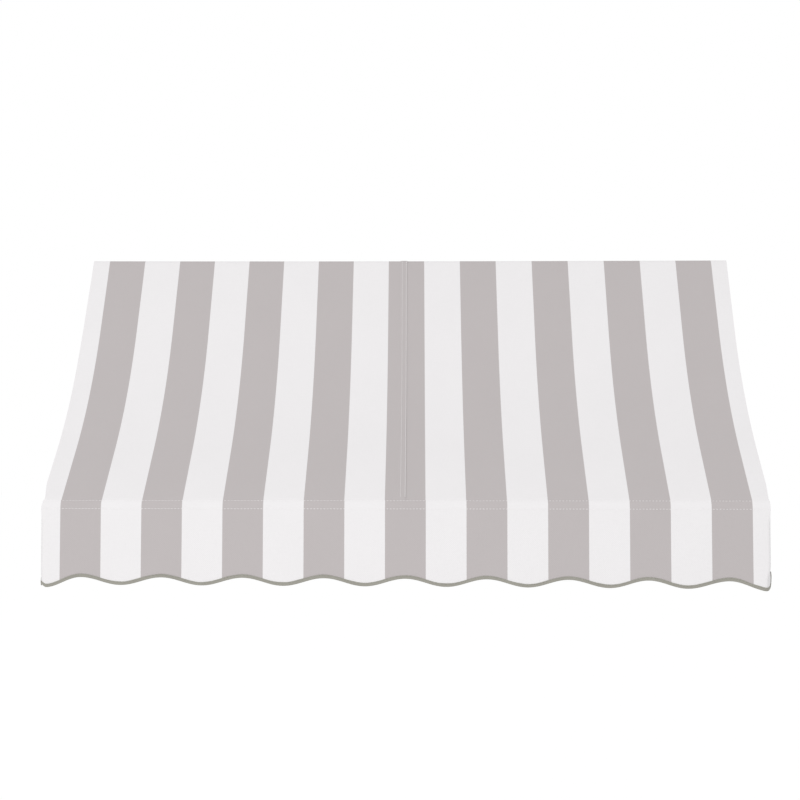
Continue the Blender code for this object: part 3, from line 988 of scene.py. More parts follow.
@dataclass(frozen=True)
class LapSeam:
    """The middle seam, where the left width laps over the right one.

    Attributes:
        edge: Where the left width's edge lies, from the middle.
        lap: How far the widths overlap.
        rise: How much the left width is raised there.
        ramp: Length over which it rises.
        clear: How far before the hidden edge it is fully raised.
        rows: Where the two rows of stitches lie.
        weights: Thickness of their threads.
    """

    edge: float = 0.0014
    lap: float = 0.0130
    rise: float = 0.0012
    ramp: float = 0.0045
    clear: float = 0.0004
    rows: tuple[float, float] = (-0.0106, -0.0002)
    weights: tuple[float, float] = (0.8, 1.25)

    @property
    def under(self) -> float:
        """Where the right width's hidden edge lies."""
        return self.edge - self.lap

    def bump(self, x: np.ndarray) -> np.ndarray:
        """How much the left width is raised by the right one under it."""
        full = self.under - self.clear
        return self.rise * blend_in(x, full - self.ramp, full)


SEAM = LapSeam()


@dataclass
class TopCover:
    """The two widths of cloth over the frame, from the hem at the wall to the lap behind the valance.

    Attributes:
        lip_marks: Shares of the slope at which the lips are given.
        lips: How far each edge stands out past the flat side there.
        end_rise: How much the hem and the head stand up at the ends.
        end_fade: Length over which that fades down the slope.
        sag: Depth of the slack between two rafters.
        wander: Waves that make the slack uneven: per metre across, per metre down, and start.
        shift: How far the stripes lie off to one side at the head.
        drift: How far they are pulled to and fro there.
        drift_period: Length of that pull.
        hold: Share of it that is gone at the crease.
        edge_hold: Distances from the middle between which it fades at the ends.
        lip_width: Width of the lip.
        bend_length: Length of the soft bend.
        steps: Rows along the hem, the head, the slope and the bend.
        columns: Columns beside the seam, across the width and at the end.
        seam_ends: How far the seam's rows start before the slope and end before the cloth does.
    """

    finishes: Finishes
    needle: Needle
    sizes: Sizes = SIZES
    lines: CoverLines = LINES
    lip_marks: tuple[float, ...] = (0.0, 0.35, 0.94, 1.0)
    lips: dict[Side, tuple[float, ...]] = field(
        default_factory=lambda: {
            Side.LEFT: (0.0, 0.0040, 0.0055, 0.0),
            Side.RIGHT: (0.0050, 0.0035, 0.0030, 0.0),
        }
    )
    end_rise: float = 0.0012
    end_fade: float = 0.06
    sag: float = 0.0030
    wander: tuple[tuple[float, float, float], ...] = ((9.1, 5.0, 0.7), (-3.1, 6.3, 1.9))
    shift: float = -0.0005
    drift: float = 0.0042
    drift_period: float = 0.75
    hold: float = 0.85
    edge_hold: tuple[float, float] = (0.775, 0.815)
    lip_width: float = 0.03
    bend_length: float = 0.0305
    steps: tuple[int, int, int, int] = (6, 12, 96, 14)
    columns: tuple[int, int, int] = (22, 96, 8)
    seam_ends: tuple[float, float] = (0.012, 0.029)

    def __post_init__(self) -> None:
        """Work out the line of the cloth."""
        self.track = self.lines.cover(self.sizes.cloth / 2, self.sizes.hem_turn)
        self.slope_start = self.track.distance_where(self.sizes.slope_top)
        self.bend_start = self.track.length - self.sizes.lap_run - self.bend_length

    def surface(self, x: np.ndarray, run: np.ndarray, lift: Values = 0.0) -> tuple[np.ndarray, np.ndarray]:
        """Points on the cover and the way that it faces there.

        Args:
            x: Cut coordinate from the middle.
            run: Distance from the hem's end.
            lift: Height above the middle of the cloth, one or one for each point.

        Returns:
            Points and normals.
        """
        s = self.sizes
        y, z, turn = self.track.at(run)
        share = np.clip((run - self.slope_start) / (self.bend_start - self.slope_start), 0.0, 1.0)
        slack = np.sin(math.pi * share) ** 1.5
        between = np.sin(math.pi * x / s.hub_x) ** 2 * (np.abs(x) < s.hub_x)
        waves = [np.sin(wide * x + tall * run + start) for wide, tall, start in self.wander]
        settled = -self.sag * slack * between * (1.0 + 0.4 * waves[0] * waves[1])
        ends = self.end_rise * (x / s.half_width) ** 2
        ends = ends * (1.0 - blend_in(run, self.slope_start, self.slope_start + self.end_fade))
        out = facing(turn)
        line = np.column_stack([y, z]) + out * (settled + ends + lift)[:, None]
        pull = self.shift - self.drift * np.cos(math.pi * x / self.drift_period)
        pull *= (1.0 - self.hold * share) * (1.0 - blend_in(np.abs(x), *self.edge_hold))
        lips = np.where(x < 0, self.lip(Side.LEFT, share), self.lip(Side.RIGHT, share))
        pull += lips * blend_in(np.abs(x), s.half_width - self.lip_width, s.half_width)
        return np.column_stack([x + pull, line]), np.column_stack([np.zeros(len(x)), out])

    def lip(self, side: Side, share: np.ndarray) -> np.ndarray:
        """How far one edge of the cover stands out past the flat side, by the share of the slope."""
        return side.value * np.interp(share, self.lip_marks, self.lips[side])

    def panel(self, side: Side) -> bpy.types.Object:
        """Make one width of the cover.

        Args:
            side: Which end of the awning it reaches.

        Returns:
            The finished piece.
        """
        s, sign = self.sizes, side.value
        inner = SEAM.edge if side is Side.LEFT else SEAM.under
        corner = s.hub_x - s.notch / 2
        middle = sign * s.notch / 2
        marks = (inner, middle, sign * corner, sign * s.half_width)
        across = stations(*zip(marks, marks[1:], self.columns))
        radius = s.wrap_radius + s.cloth / 2
        notch_turn = 180.0 - math.degrees(math.asin(s.notch_top / radius))
        notch_end = math.radians(s.hem_turn - notch_turn) * radius
        marks = (0.0, notch_end, self.slope_start, self.bend_start, self.track.length)
        along = stations(*zip(marks, marks[1:], self.steps))

        def spare(centre: Vector) -> bool:
            """Whether a face lies where a cast joint passes through the hem."""
            reach = abs(centre.x)
            return centre.y < notch_end and (reach < s.notch / 2 or reach > corner)

        def place(x: np.ndarray, run: np.ndarray) -> tuple[np.ndarray, np.ndarray]:
            """Points and cut coordinates, for distances from the middle and from the hem's end."""
            raised = SEAM.bump(x) * (side is Side.LEFT)
            return self.surface(x, run, raised)[0], np.column_stack([x, run])

        piece = lay_cloth(f"cover_{side.label}", across, along, place, spare)
        thicken(piece, s.cloth)
        dress(piece, self.finishes.striped, [f"top_panel_{side.label}"])
        return piece

    def seam(self) -> bpy.types.Object:
        """Sew the two rows beside the middle seam.

        Returns:
            The stitches.
        """
        before, after = self.seam_ends
        run = np.arange(self.slope_start - before, self.track.length - after, SEAM_STEP)
        height = self.sizes.cloth / 2 + SEAM.rise
        rows = [self.surface(np.full(len(run), x), run, height) for x in SEAM.rows]
        return dress(self.needle.sew("seam_stitches", rows, SEAM.weights), self.finishes.thread)

    def build(self) -> None:
        """Make both widths and their seam."""
        left, right = self.panel(Side.LEFT), self.panel(Side.RIGHT)
        seam = self.seam()


@dataclass
class Wings:
    """The flat sides of the cover, each sewn under the edge of the slope.

    Attributes:
        bulge: How far the cloth bows out.
        foot: Height of the flat part at the lower edge.
        bulge_top: Height at which the cloth is flat again.
        fine_from: Height above which the rows follow the head tube.
        crown: Distance from the top of the head tube's curve to the last row.
        steps: Rows up to the foot, to fine_from, to the notch and to the crown.
        columns: Columns from the wall to the front.
        front_down: Distance down the valance at which the stripes match round the corner.
        rows_apart: Distance between the two rows of stitches of the upright's pocket.
        rise: Height of their line above the cloth.
        margin: Least distance of a row from the rear edge.
    """

    finishes: Finishes
    needle: Needle
    sizes: Sizes = SIZES
    lines: CoverLines = LINES
    bulge: float = 0.0022
    foot: float = 0.045
    bulge_top: float = -0.03
    fine_from: float = -0.02
    crown: float = 0.0002
    steps: tuple[int, int, int, int] = (9, 64, 5, 6)
    columns: int = 60
    front_down: float = 0.1
    rows_apart: float = 0.0330
    rise: float = 0.0002
    margin: float = 0.002

    def build(self) -> None:
        """Make both sides."""
        for side in Side:
            self.wing(side)

    def wing(self, side: Side) -> None:
        """Make one side and the stitches of the pocket behind it.

        Args:
            side: Which end of the awning.
        """
        s, sign = self.sizes, side.value
        radius = s.wrap_radius - s.gap
        track = self.lines.cover(-s.gap, 90.0)
        front_y, front_z = track.points[:, 0], track.points[:, 1]
        low = float(front_z[-1])
        shoulder = s.notch_top - s.gap
        marks = (low, low + self.foot, self.fine_from, shoulder, radius - self.crown)
        heights = stations(*zip(marks, marks[1:], self.steps))
        corner_y = float(self.lines.valance().at(np.array([self.front_down]))[0][0])

        def place(share: np.ndarray, z: np.ndarray) -> tuple[np.ndarray, np.ndarray]:
            """Lay the cut in the flat side.

            Args:
                share: Shares of the way from the wall to the front.
                z: Heights.

            Returns:
                Points and cut coordinates.
            """
            front = np.interp(-z, -front_z, front_y)
            behind = -s.head_reach + np.sqrt(np.maximum(radius**2 - z**2, 0.0))
            back = np.where(z > shoulder + 1e-6, behind, -s.wall_gap)
            y = back + (front - back) * share
            up = np.clip((z - low - self.foot) / (self.bulge_top - low - self.foot), 0.0, 1.0)
            out = self.bulge * np.sin(math.pi * up) * np.sin(math.pi * np.clip(share, 0.0, 1.0)) ** 2
            x = sign * (s.half_width - s.cloth / 2 + out)
            return np.column_stack([x, y, z]), np.column_stack([s.side_x + y - corner_y, z])

        shares = np.linspace(0.0, 1.0, self.columns + 1)
        piece = lay_cloth(f"cover_wing_{side.label}", shares, heights, place)
        area = thicken(piece, s.cloth)
        dress(piece, self.finishes.striped, [f"wing_{side.label}"])
        stitches = self.stitches(side)

    def stitches(self, side: Side) -> bpy.types.Object:
        """Sew the upright's pocket to one side, by the rows that clear the rear edge.

        Args:
            side: Which end of the awning.

        Returns:
            The stitches.
        """
        s, sign = self.sizes, side.value
        low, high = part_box(f"upright_pocket_{side.label}")
        z = np.arange(low.z + SEAM_STEP, high.z - SEAM_STEP, SEAM_STEP)
        x = np.full(len(z), sign * (s.half_width + self.rise))
        out = np.tile([float(sign), 0.0, 0.0], (len(z), 1))
        rows = []
        for step in (-0.5, 0.5):
            y = (low.y + high.y) / 2 + step * self.rows_apart
            if y < -s.wall_gap - self.margin:
                rows.append((np.column_stack([x, np.full(len(z), y), z]), out))
        return dress(self.needle.sew(f"wing_stitches_{side.label}", rows), self.finishes.thread)


@dataclass(frozen=True)
class Corner:
    """How the loose cloth hangs at one front corner of the valance.

    Attributes:
        spread: How far the corner stands out past the flat side.
        flare: How far the side cloth blows out behind it.
        flare_full: Distance behind the corner at which it is fully out.
        flare_gone: Distance at which it is flat again.
        tuck: How far the lower tip of the corner is drawn in.
        lift: How far the lower edge rises along the side.
        trough: Distance from the middle to the low point of the last scallop.
        early: How much sooner the outer scallops come.
        curl: How far the edge curls up at the corner.
        drop: How far it hangs down over the last stripe.
    """

    spread: float
    flare: float
    flare_full: float
    flare_gone: float
    tuck: float
    lift: float
    trough: float
    early: float
    curl: float
    drop: float


@dataclass
class Skirt:
    """The scalloped valance round the front and both sides, with its binding and crease stitches.

    Attributes:
        corner_tight: Radius of the front corners at the crease.
        corner_soft: Their radius lower down.
        corner_opens: Height over which they open.
        corner_ease: Length of the front's ends that follows the corners' turn.
        spread_span: Distances down between which the corners come to stand out.
        spread_fade: Distances behind the corners between which that fades.
        flare_lead: Share of the flare's length by which it is ahead at the corner.
        flare_hold: Length over which it stays fully out.
        tip_from: Share of the way down at which the corners' tips start.
        tip_width: Width of a tip.
        curl_behind: Distance behind a corner at which its edge curls up most.
        curl_width: Width of the curl.
        hang: How far the lower edge hangs low: all along, towards the right and at both ends.
        wave: Depth of the waves at the lower edge.
        waves: Length, share of the depth and start of each wave.
        wave_fade: Distances behind the corners between which they fade.
        lap_fade: Height over which the step of the middle seam fades.
        crease_rows: Distances down of the two rows of stitches.
        row_weights: Thickness of their threads.
        front_row_end: How far they end before the front cloth does.
        side_row_ends: How far they start behind the corner and end before the wall.
        corner_lap: How far the side cloth laps behind the front one.
        sink_span: Distances below the cover between which it sinks in.
        sink_fade: Length over which it comes out again.
        lap_span: Distances below the cover between which the lap widens.
        rear: A distance behind the corner that stands for the rear edge.
        tape_leg: Height of the binding on each face.
        tape_end: How far the binding ends before the wall.
        tape_knots: Places at which its upper edge goes up or down.
        tape_uneven: How much it does.
        tape_seed: Start of those random heights.
        binding_row: Height of the binding's stitches above the edge.
        column: Width of a column.
        turn_columns: Columns round half of a corner.
        steps: Rows on the bend and below it.
        corners: How the cloth hangs at each corner.
    """

    finishes: Finishes
    needle: Needle
    sizes: Sizes = SIZES
    lines: CoverLines = LINES
    corner_tight: float = 0.0009
    corner_soft: float = 0.0080
    corner_opens: float = 0.030
    corner_ease: float = 0.020
    spread_span: tuple[float, float] = (-0.012, 0.025)
    spread_fade: tuple[float, float] = (0.20, 0.50)
    flare_lead: float = 0.1
    flare_hold: float = 0.01
    tip_from: float = 0.78
    tip_width: float = 0.016
    curl_behind: float = 0.004
    curl_width: float = 0.007
    hang: tuple[float, float, float] = (0.0001, 0.0040, 0.0010)
    wave: float = 0.0012
    waves: tuple[tuple[float, float, float], ...] = ((0.556, 1.0, 0.4), (0.265, 0.6, 2.1), (0.170, 0.5, 4.4))
    wave_fade: tuple[float, float] = (0.40, 0.55)
    lap_fade: float = 0.012
    crease_rows: tuple[float, float] = (0.0014, 0.0208)
    row_weights: tuple[float, float] = (0.8, 0.95)
    front_row_end: float = 0.002
    side_row_ends: tuple[float, float] = (0.003, 0.006)
    corner_lap: float = 0.0060
    sink_span: tuple[float, float] = (-0.002, 0.002)
    sink_fade: float = 0.004
    lap_span: tuple[float, float] = (0.001, 0.007)
    rear: float = 0.5
    tape_leg: float = 0.0066
    tape_end: float = 0.001
    tape_knots: int = 140
    tape_uneven: float = 0.00035
    tape_seed: int = 5
    binding_row: float = 0.0048
    column: float = 0.0052
    turn_columns: int = 6
    steps: tuple[int, int] = (9, 22)
    corners: dict[Side, Corner] = field(
        default_factory=lambda: {
            Side.LEFT: Corner(
                spread=0.0045,
                flare=0.008,
                flare_full=0.05,
                flare_gone=0.30,
                tuck=0.001,
                lift=0.001,
                trough=0.8145,
                early=0.0,
                curl=0.0065,
                drop=0.0060,
            ),
            Side.RIGHT: Corner(
                spread=0.0010,
                flare=0.022,
                flare_full=0.10,
                flare_gone=0.34,
                tuck=0.006,
                lift=0.010,
                trough=0.8175,
                early=0.009,
                curl=0.0,
                drop=0.0040,
            ),
        }
    )

    def __post_init__(self) -> None:
        """Work out the line of the cloth and the corners."""
        self.track = self.lines.valance()
        self.bend_end = self.track.distance_where(self.sizes.flare)
        self.corner = self.sizes.side_x - self.corner_soft
        self.corner_seam = self.corner + self.corner_soft * math.pi / 4
        self.cover_end = self.bend_end + self.sizes.lap_run

    def per_side(self, d: np.ndarray, name: str) -> np.ndarray:
        """A value of the left or right corner, for distances along the valance."""
        left, right = (getattr(self.corners[side], name) for side in Side)
        return np.where(d < 0, left, right)

    def edge(self, d: np.ndarray) -> np.ndarray:
        """Find how far down the lower edge is.

        Args:
            d: Distances along the valance from its middle, below zero to the left.

        Returns:
            Distance down from the upper edge, for each.
        """
        s = self.sizes
        reach = np.abs(d)
        phases = {}
        for side, corner in self.corners.items():
            # Scallops are even up to the fifth stripe, and the ninth ends in the corner's trough
            early = [5 * s.stripe, 7 * s.stripe - corner.early, 8 * s.stripe - 0.7 * corner.early]
            marks = [0.0, *early, corner.trough, corner.trough + 10 * s.stripe]
            phases[side] = np.interp(reach, marks, math.pi * np.array([0.0, 5.0, 7.0, 8.0, 9.0, 19.0]))
        phase = np.where(d < 0, phases[Side.LEFT], phases[Side.RIGHT])
        scallop = s.scallop * np.cos(phase) / math.cos(math.radians(s.flare))
        share = np.clip(d / s.half_width, -1.0, 1.0)
        middle, slant, bow = self.hang
        hang = middle + slant * share + bow * share**2
        hang += self.per_side(d, "drop") * blend_in(reach, s.half_width - s.stripe, s.half_width)
        hang -= self.per_side(d, "lift") * blend_in(reach, s.side_x, s.side_x + s.stripe)
        curled = (reach - s.side_x - self.curl_behind) / self.curl_width
        hang -= self.per_side(d, "curl") * np.exp(-(curled**2))
        return self.bend_end + s.valance_run - scallop + hang

    def corner_radius(self, t: np.ndarray) -> np.ndarray:
        """Radius of the front corners, for distances down from the upper edge."""
        low = blend_in(t, self.cover_end, self.cover_end + self.corner_opens)
        return self.corner_tight + (self.corner_soft - self.corner_tight) * low

    def spread_at(self, d: np.ndarray, t: np.ndarray) -> np.ndarray:
        """How far the corners stand out past the flat side, for places on the valance."""
        return self.per_side(d, "spread") * blend_in(t, *self.spread_span)

    def seam_at(self, d: np.ndarray, t: np.ndarray) -> np.ndarray:
        """Distance from the middle at which the front and side cloths meet, for places near a corner."""
        return self.sizes.side_x + self.spread_at(d, t) - self.corner_radius(t) * (1.0 - math.pi / 4)

    def surface(self, d: np.ndarray, t: np.ndarray, lift: Values = 0.0) -> tuple[np.ndarray, np.ndarray]:
        """Points on the valance and the way that it faces there.

        Args:
            d: Distance along it from its middle, below zero to the left.
            t: Distance down from its upper edge.
            lift: Height above the middle of the cloth, one or one for each point.

        Returns:
            Points and normals.
        """
        s = self.sizes
        y, z, turn = self.track.at(t)
        radius = self.corner_radius(t)
        reach, sign = np.abs(d), np.sign(d)
        spread = self.spread_at(d, t)
        straight = s.side_x + spread - radius
        angle = np.clip((reach - straight) / radius, 0.0, math.pi / 2)
        behind = np.maximum(reach - straight - radius * math.pi / 2, 0.0)
        back = radius * (1.0 - np.cos(angle)) + behind
        x = np.minimum(reach, straight) + radius * np.sin(angle)
        x -= spread * blend_in(behind, *self.spread_fade)
        normals = np.column_stack([sign * np.sin(angle), facing(turn) * np.cos(angle)[:, None]])
        down = np.clip((t - self.bend_end) / s.valance_run, 0.0, 1.1)
        ripple = sum(high * np.sin(2 * math.pi / length * d + start) for length, high, start in self.waves)
        off = self.wave * ripple * down**1.3 * (1.0 - blend_in(behind, *self.wave_fade))
        full, gone = self.per_side(d, "flare_full"), self.per_side(d, "flare_gone")
        puff = blend_in(behind / full, -self.flare_lead, 1.0)
        puff *= 1.0 - blend_in(behind, full + self.flare_hold, gone)
        off += self.per_side(d, "flare") * puff * (behind > 0) * down**2
        over_lap = 1.0 - blend_in(t, self.cover_end, self.cover_end + self.lap_fade)
        off += SEAM.bump(d) * (1.0 - blend_in(d, SEAM.edge, SEAM.edge + SEAM.ramp)) * over_lap
        tip = blend_in(down, self.tip_from, 1.0) * np.exp(-(((reach - s.side_x) / self.tip_width) ** 2))
        x -= self.per_side(d, "tuck") * tip
        points = np.column_stack([sign * x, y + back, z]) + normals * (off + lift)[:, None]
        points[:, 1] = np.minimum(points[:, 1], -s.wall_gap)
        return points, normals

    def wall_end(self, d: np.ndarray, t: np.ndarray) -> np.ndarray:
        """Distance from the middle at which a side valance meets the wall, for distances down it.

        Args:
            d: Any distances along the valance on that side.
            t: Distances down from its upper edge.

        Returns:
            One distance for each.
        """
        y = self.track.at(t)[0]
        round_corner = self.corner_radius(t) * (math.pi / 2 - 2.0)
        return self.sizes.side_x + self.spread_at(d, t) + round_corner - self.sizes.wall_gap - y

    def reach(self, side: Side) -> float:
        """Distance from the middle to the rear end of one side's lower edge."""
        d = np.array([side.value * (self.sizes.side_x + self.rear)])
        return float(self.wall_end(d, self.edge(d))[0])

    def rows(self) -> np.ndarray:
        """Shares of the way down at which the valance has a row of points."""
        bend = self.bend_end / (self.bend_end + self.sizes.valance_run)
        return stations((0.0, bend, self.steps[0]), (bend, 1.0, self.steps[1]))

    def front(self) -> bpy.types.Object:
        """Make the front valance.

        Returns:
            The finished piece.
        """
        end = self.corner_seam - self.sizes.gap / 2
        columns = 2 * int(self.corner / self.column)
        marks = (-end, -self.corner, self.corner, end)
        across = stations(*zip(marks, marks[1:], (self.turn_columns, columns, self.turn_columns)))

        def place(d: np.ndarray, share: np.ndarray) -> tuple[np.ndarray, np.ndarray]:
            """Lay the cut, with both ends moved to the middle of the corners' turn.

            Args:
                d: Distances along the valance.
                share: Shares of the way down.

            Returns:
                Points and cut coordinates.
            """
            t = share * self.edge(d)
            short = self.seam_at(d, t) - self.sizes.gap / 2 - end
            d = d + np.sign(d) * short * blend_in(np.abs(d), self.corner - self.corner_ease, end)
            t = share * self.edge(d)
            return self.surface(d, t)[0], np.column_stack([d, t])

        piece = lay_cloth("valance_cloth_front", across, self.rows(), place)
        thicken(piece, self.sizes.cloth)
        return dress(piece, self.finishes.striped, ["valance_front"])

    def side(self, side: Side) -> bpy.types.Object:
        """Make one side valance.

        Args:
            side: Which end of the awning.

        Returns:
            The finished piece.
        """
        s = self.sizes
        start = self.corner_seam + s.gap / 2
        turn_end = self.corner + self.corner_soft * math.pi / 2
        whole = self.reach(side)
        bend = (turn_end - start) / (whole - start)
        columns = int((whole - turn_end) / self.column)
        across = stations((0.0, bend, self.turn_columns), (bend, 1.0, columns))

        def place(share: np.ndarray, down: np.ndarray) -> tuple[np.ndarray, np.ndarray]:
            """Lay the cut. Below the cover its front edge sinks in and laps behind the front valance.

            Args:
                share: Shares of the way from the corner to the wall.
                down: Shares of the way down.

            Returns:
                Points and cut coordinates.
            """
            d = side.value * (start + share * (whole - start))
            for _ in range(3):
                t = down * self.edge(d)
                seam = self.seam_at(d, t) + s.gap / 2
                first = seam - self.corner_lap * blend_in(t - self.cover_end, *self.lap_span)
                away = first + share * (self.wall_end(d, t) - first)
                d = side.value * away
            sunk = (s.cloth + s.gap) * blend_in(t - self.cover_end, *self.sink_span)
            sunk *= 1.0 - blend_in(away, seam, seam + self.sink_fade)
            return self.surface(d, t, -sunk)[0], np.column_stack([d, t])

        piece = lay_cloth(f"valance_cloth_{side.label}", across, self.rows(), place)
        thicken(piece, self.sizes.cloth)
        return dress(piece, self.finishes.striped, [f"valance_{side.label}"])

    def edge_line(self) -> tuple[np.ndarray, np.ndarray, np.ndarray]:
        """Places round the whole lower edge.

        Returns:
            Distances along, points of the edge and outward normals, left end first.
        """
        left, right = (side.value * (self.reach(side) - self.tape_end) for side in Side)
        d = np.linspace(left, right, int((right - left) / SEAM_STEP))
        points, normals = self.surface(d, self.edge(d))
        return d, points, normals

    def binding(self) -> bpy.types.Object:
        """Fold the tape over the lower edge, in one length.

        Returns:
            The finished piece.
        """
        s = self.sizes
        d, points, normals = self.edge_line()
        above = self.surface(d, self.edge(d) - self.tape_leg)[0]
        up = (above - points) / np.linalg.norm(above - points, axis=1)[:, None]
        half = s.cloth / 2 + s.gap + s.tape / 2
        legs = [(1.0, self.tape_leg * share) for share in (1.0, 0.66, 0.33, 0.0)]
        fold = [(math.cos(turn), -math.sin(turn)) for turn in np.linspace(0.0, math.pi, 7)[1:-1]]
        section = legs + [(out, drop * half) for out, drop in fold]
        section += [(-out, rise) for out, rise in reversed(legs)]
        out_steps = np.array([step[0] * half for step in section])
        up_steps = np.array([step[1] for step in section])
        wide = np.concatenate([[0.0], np.cumsum(np.hypot(np.diff(out_steps), np.diff(up_steps)))])
        random = np.random.default_rng(self.tape_seed)
        knots = np.linspace(d[0], d[-1], self.tape_knots)
        uneven = np.interp(d, knots, random.normal(0.0, self.tape_uneven, self.tape_knots))

        def place(column: np.ndarray, row: np.ndarray) -> tuple[np.ndarray, np.ndarray]:
            """Lay the tape along the edge.

            Args:
                column: Number of each point across the tape.
                row: Number of each point along it.

            Returns:
                Points and cut coordinates.
            """
            at, part = np.rint(row).astype(int), np.rint(column).astype(int)
            rise = up_steps[part] + uneven[at] * (up_steps[part] > self.tape_leg * 0.5)
            where = points[at] + normals[at] * out_steps[part][:, None] + up[at] * rise[:, None]
            where[:, 1] = np.minimum(where[:, 1], -s.wall_gap)
            return where, np.column_stack([d[at], wide[part]])

        piece = lay_cloth("edge_binding", np.arange(float(len(section))), np.arange(float(len(d))), place)
        thicken(piece, s.tape)
        return dress(piece, self.finishes.tape, ["valance_binding"])

    def build(self) -> None:
        """Make the valance with its binding and stitches."""
        s = self.sizes
        front = self.front()
        sides = {side: self.side(side) for side in Side}
        binding = self.binding()
        outer = s.cloth / 2
        reach = self.corner_seam - self.front_row_end
        d = np.arange(-reach, reach, SEAM_STEP)
        rows = [self.surface(d, np.full(len(d), t), outer) for t in self.crease_rows]
        sewn = self.needle.sew("crease_stitches_front", rows, self.row_weights)
        crease = dress(sewn, self.finishes.thread)
        taped = s.cloth / 2 + s.gap + s.tape
        d, _, _ = self.edge_line()
        row = self.surface(d, self.edge(d) - self.binding_row, taped)
        hem = dress(self.needle.sew("binding_stitches", [row]), self.finishes.tape_thread)
        for side, piece in sides.items():
            length = self.reach(side) - self.corner_seam
            rows = []
            for t in self.crease_rows:
                mark, down = np.array([float(side.value)]), np.array([t])
                first, last = float(self.seam_at(mark, down)[0]), float(self.wall_end(mark, down)[0])
                start, end = self.side_row_ends
                d = side.value * np.arange(first + start, last - end, SEAM_STEP)
                rows.append(self.surface(d, np.full(len(d), t), outer))
            sewn = self.needle.sew(f"crease_stitches_{side.label}", rows, self.row_weights)
            stitches = dress(sewn, self.finishes.thread)
        span = sum(self.reach(side) for side in Side)


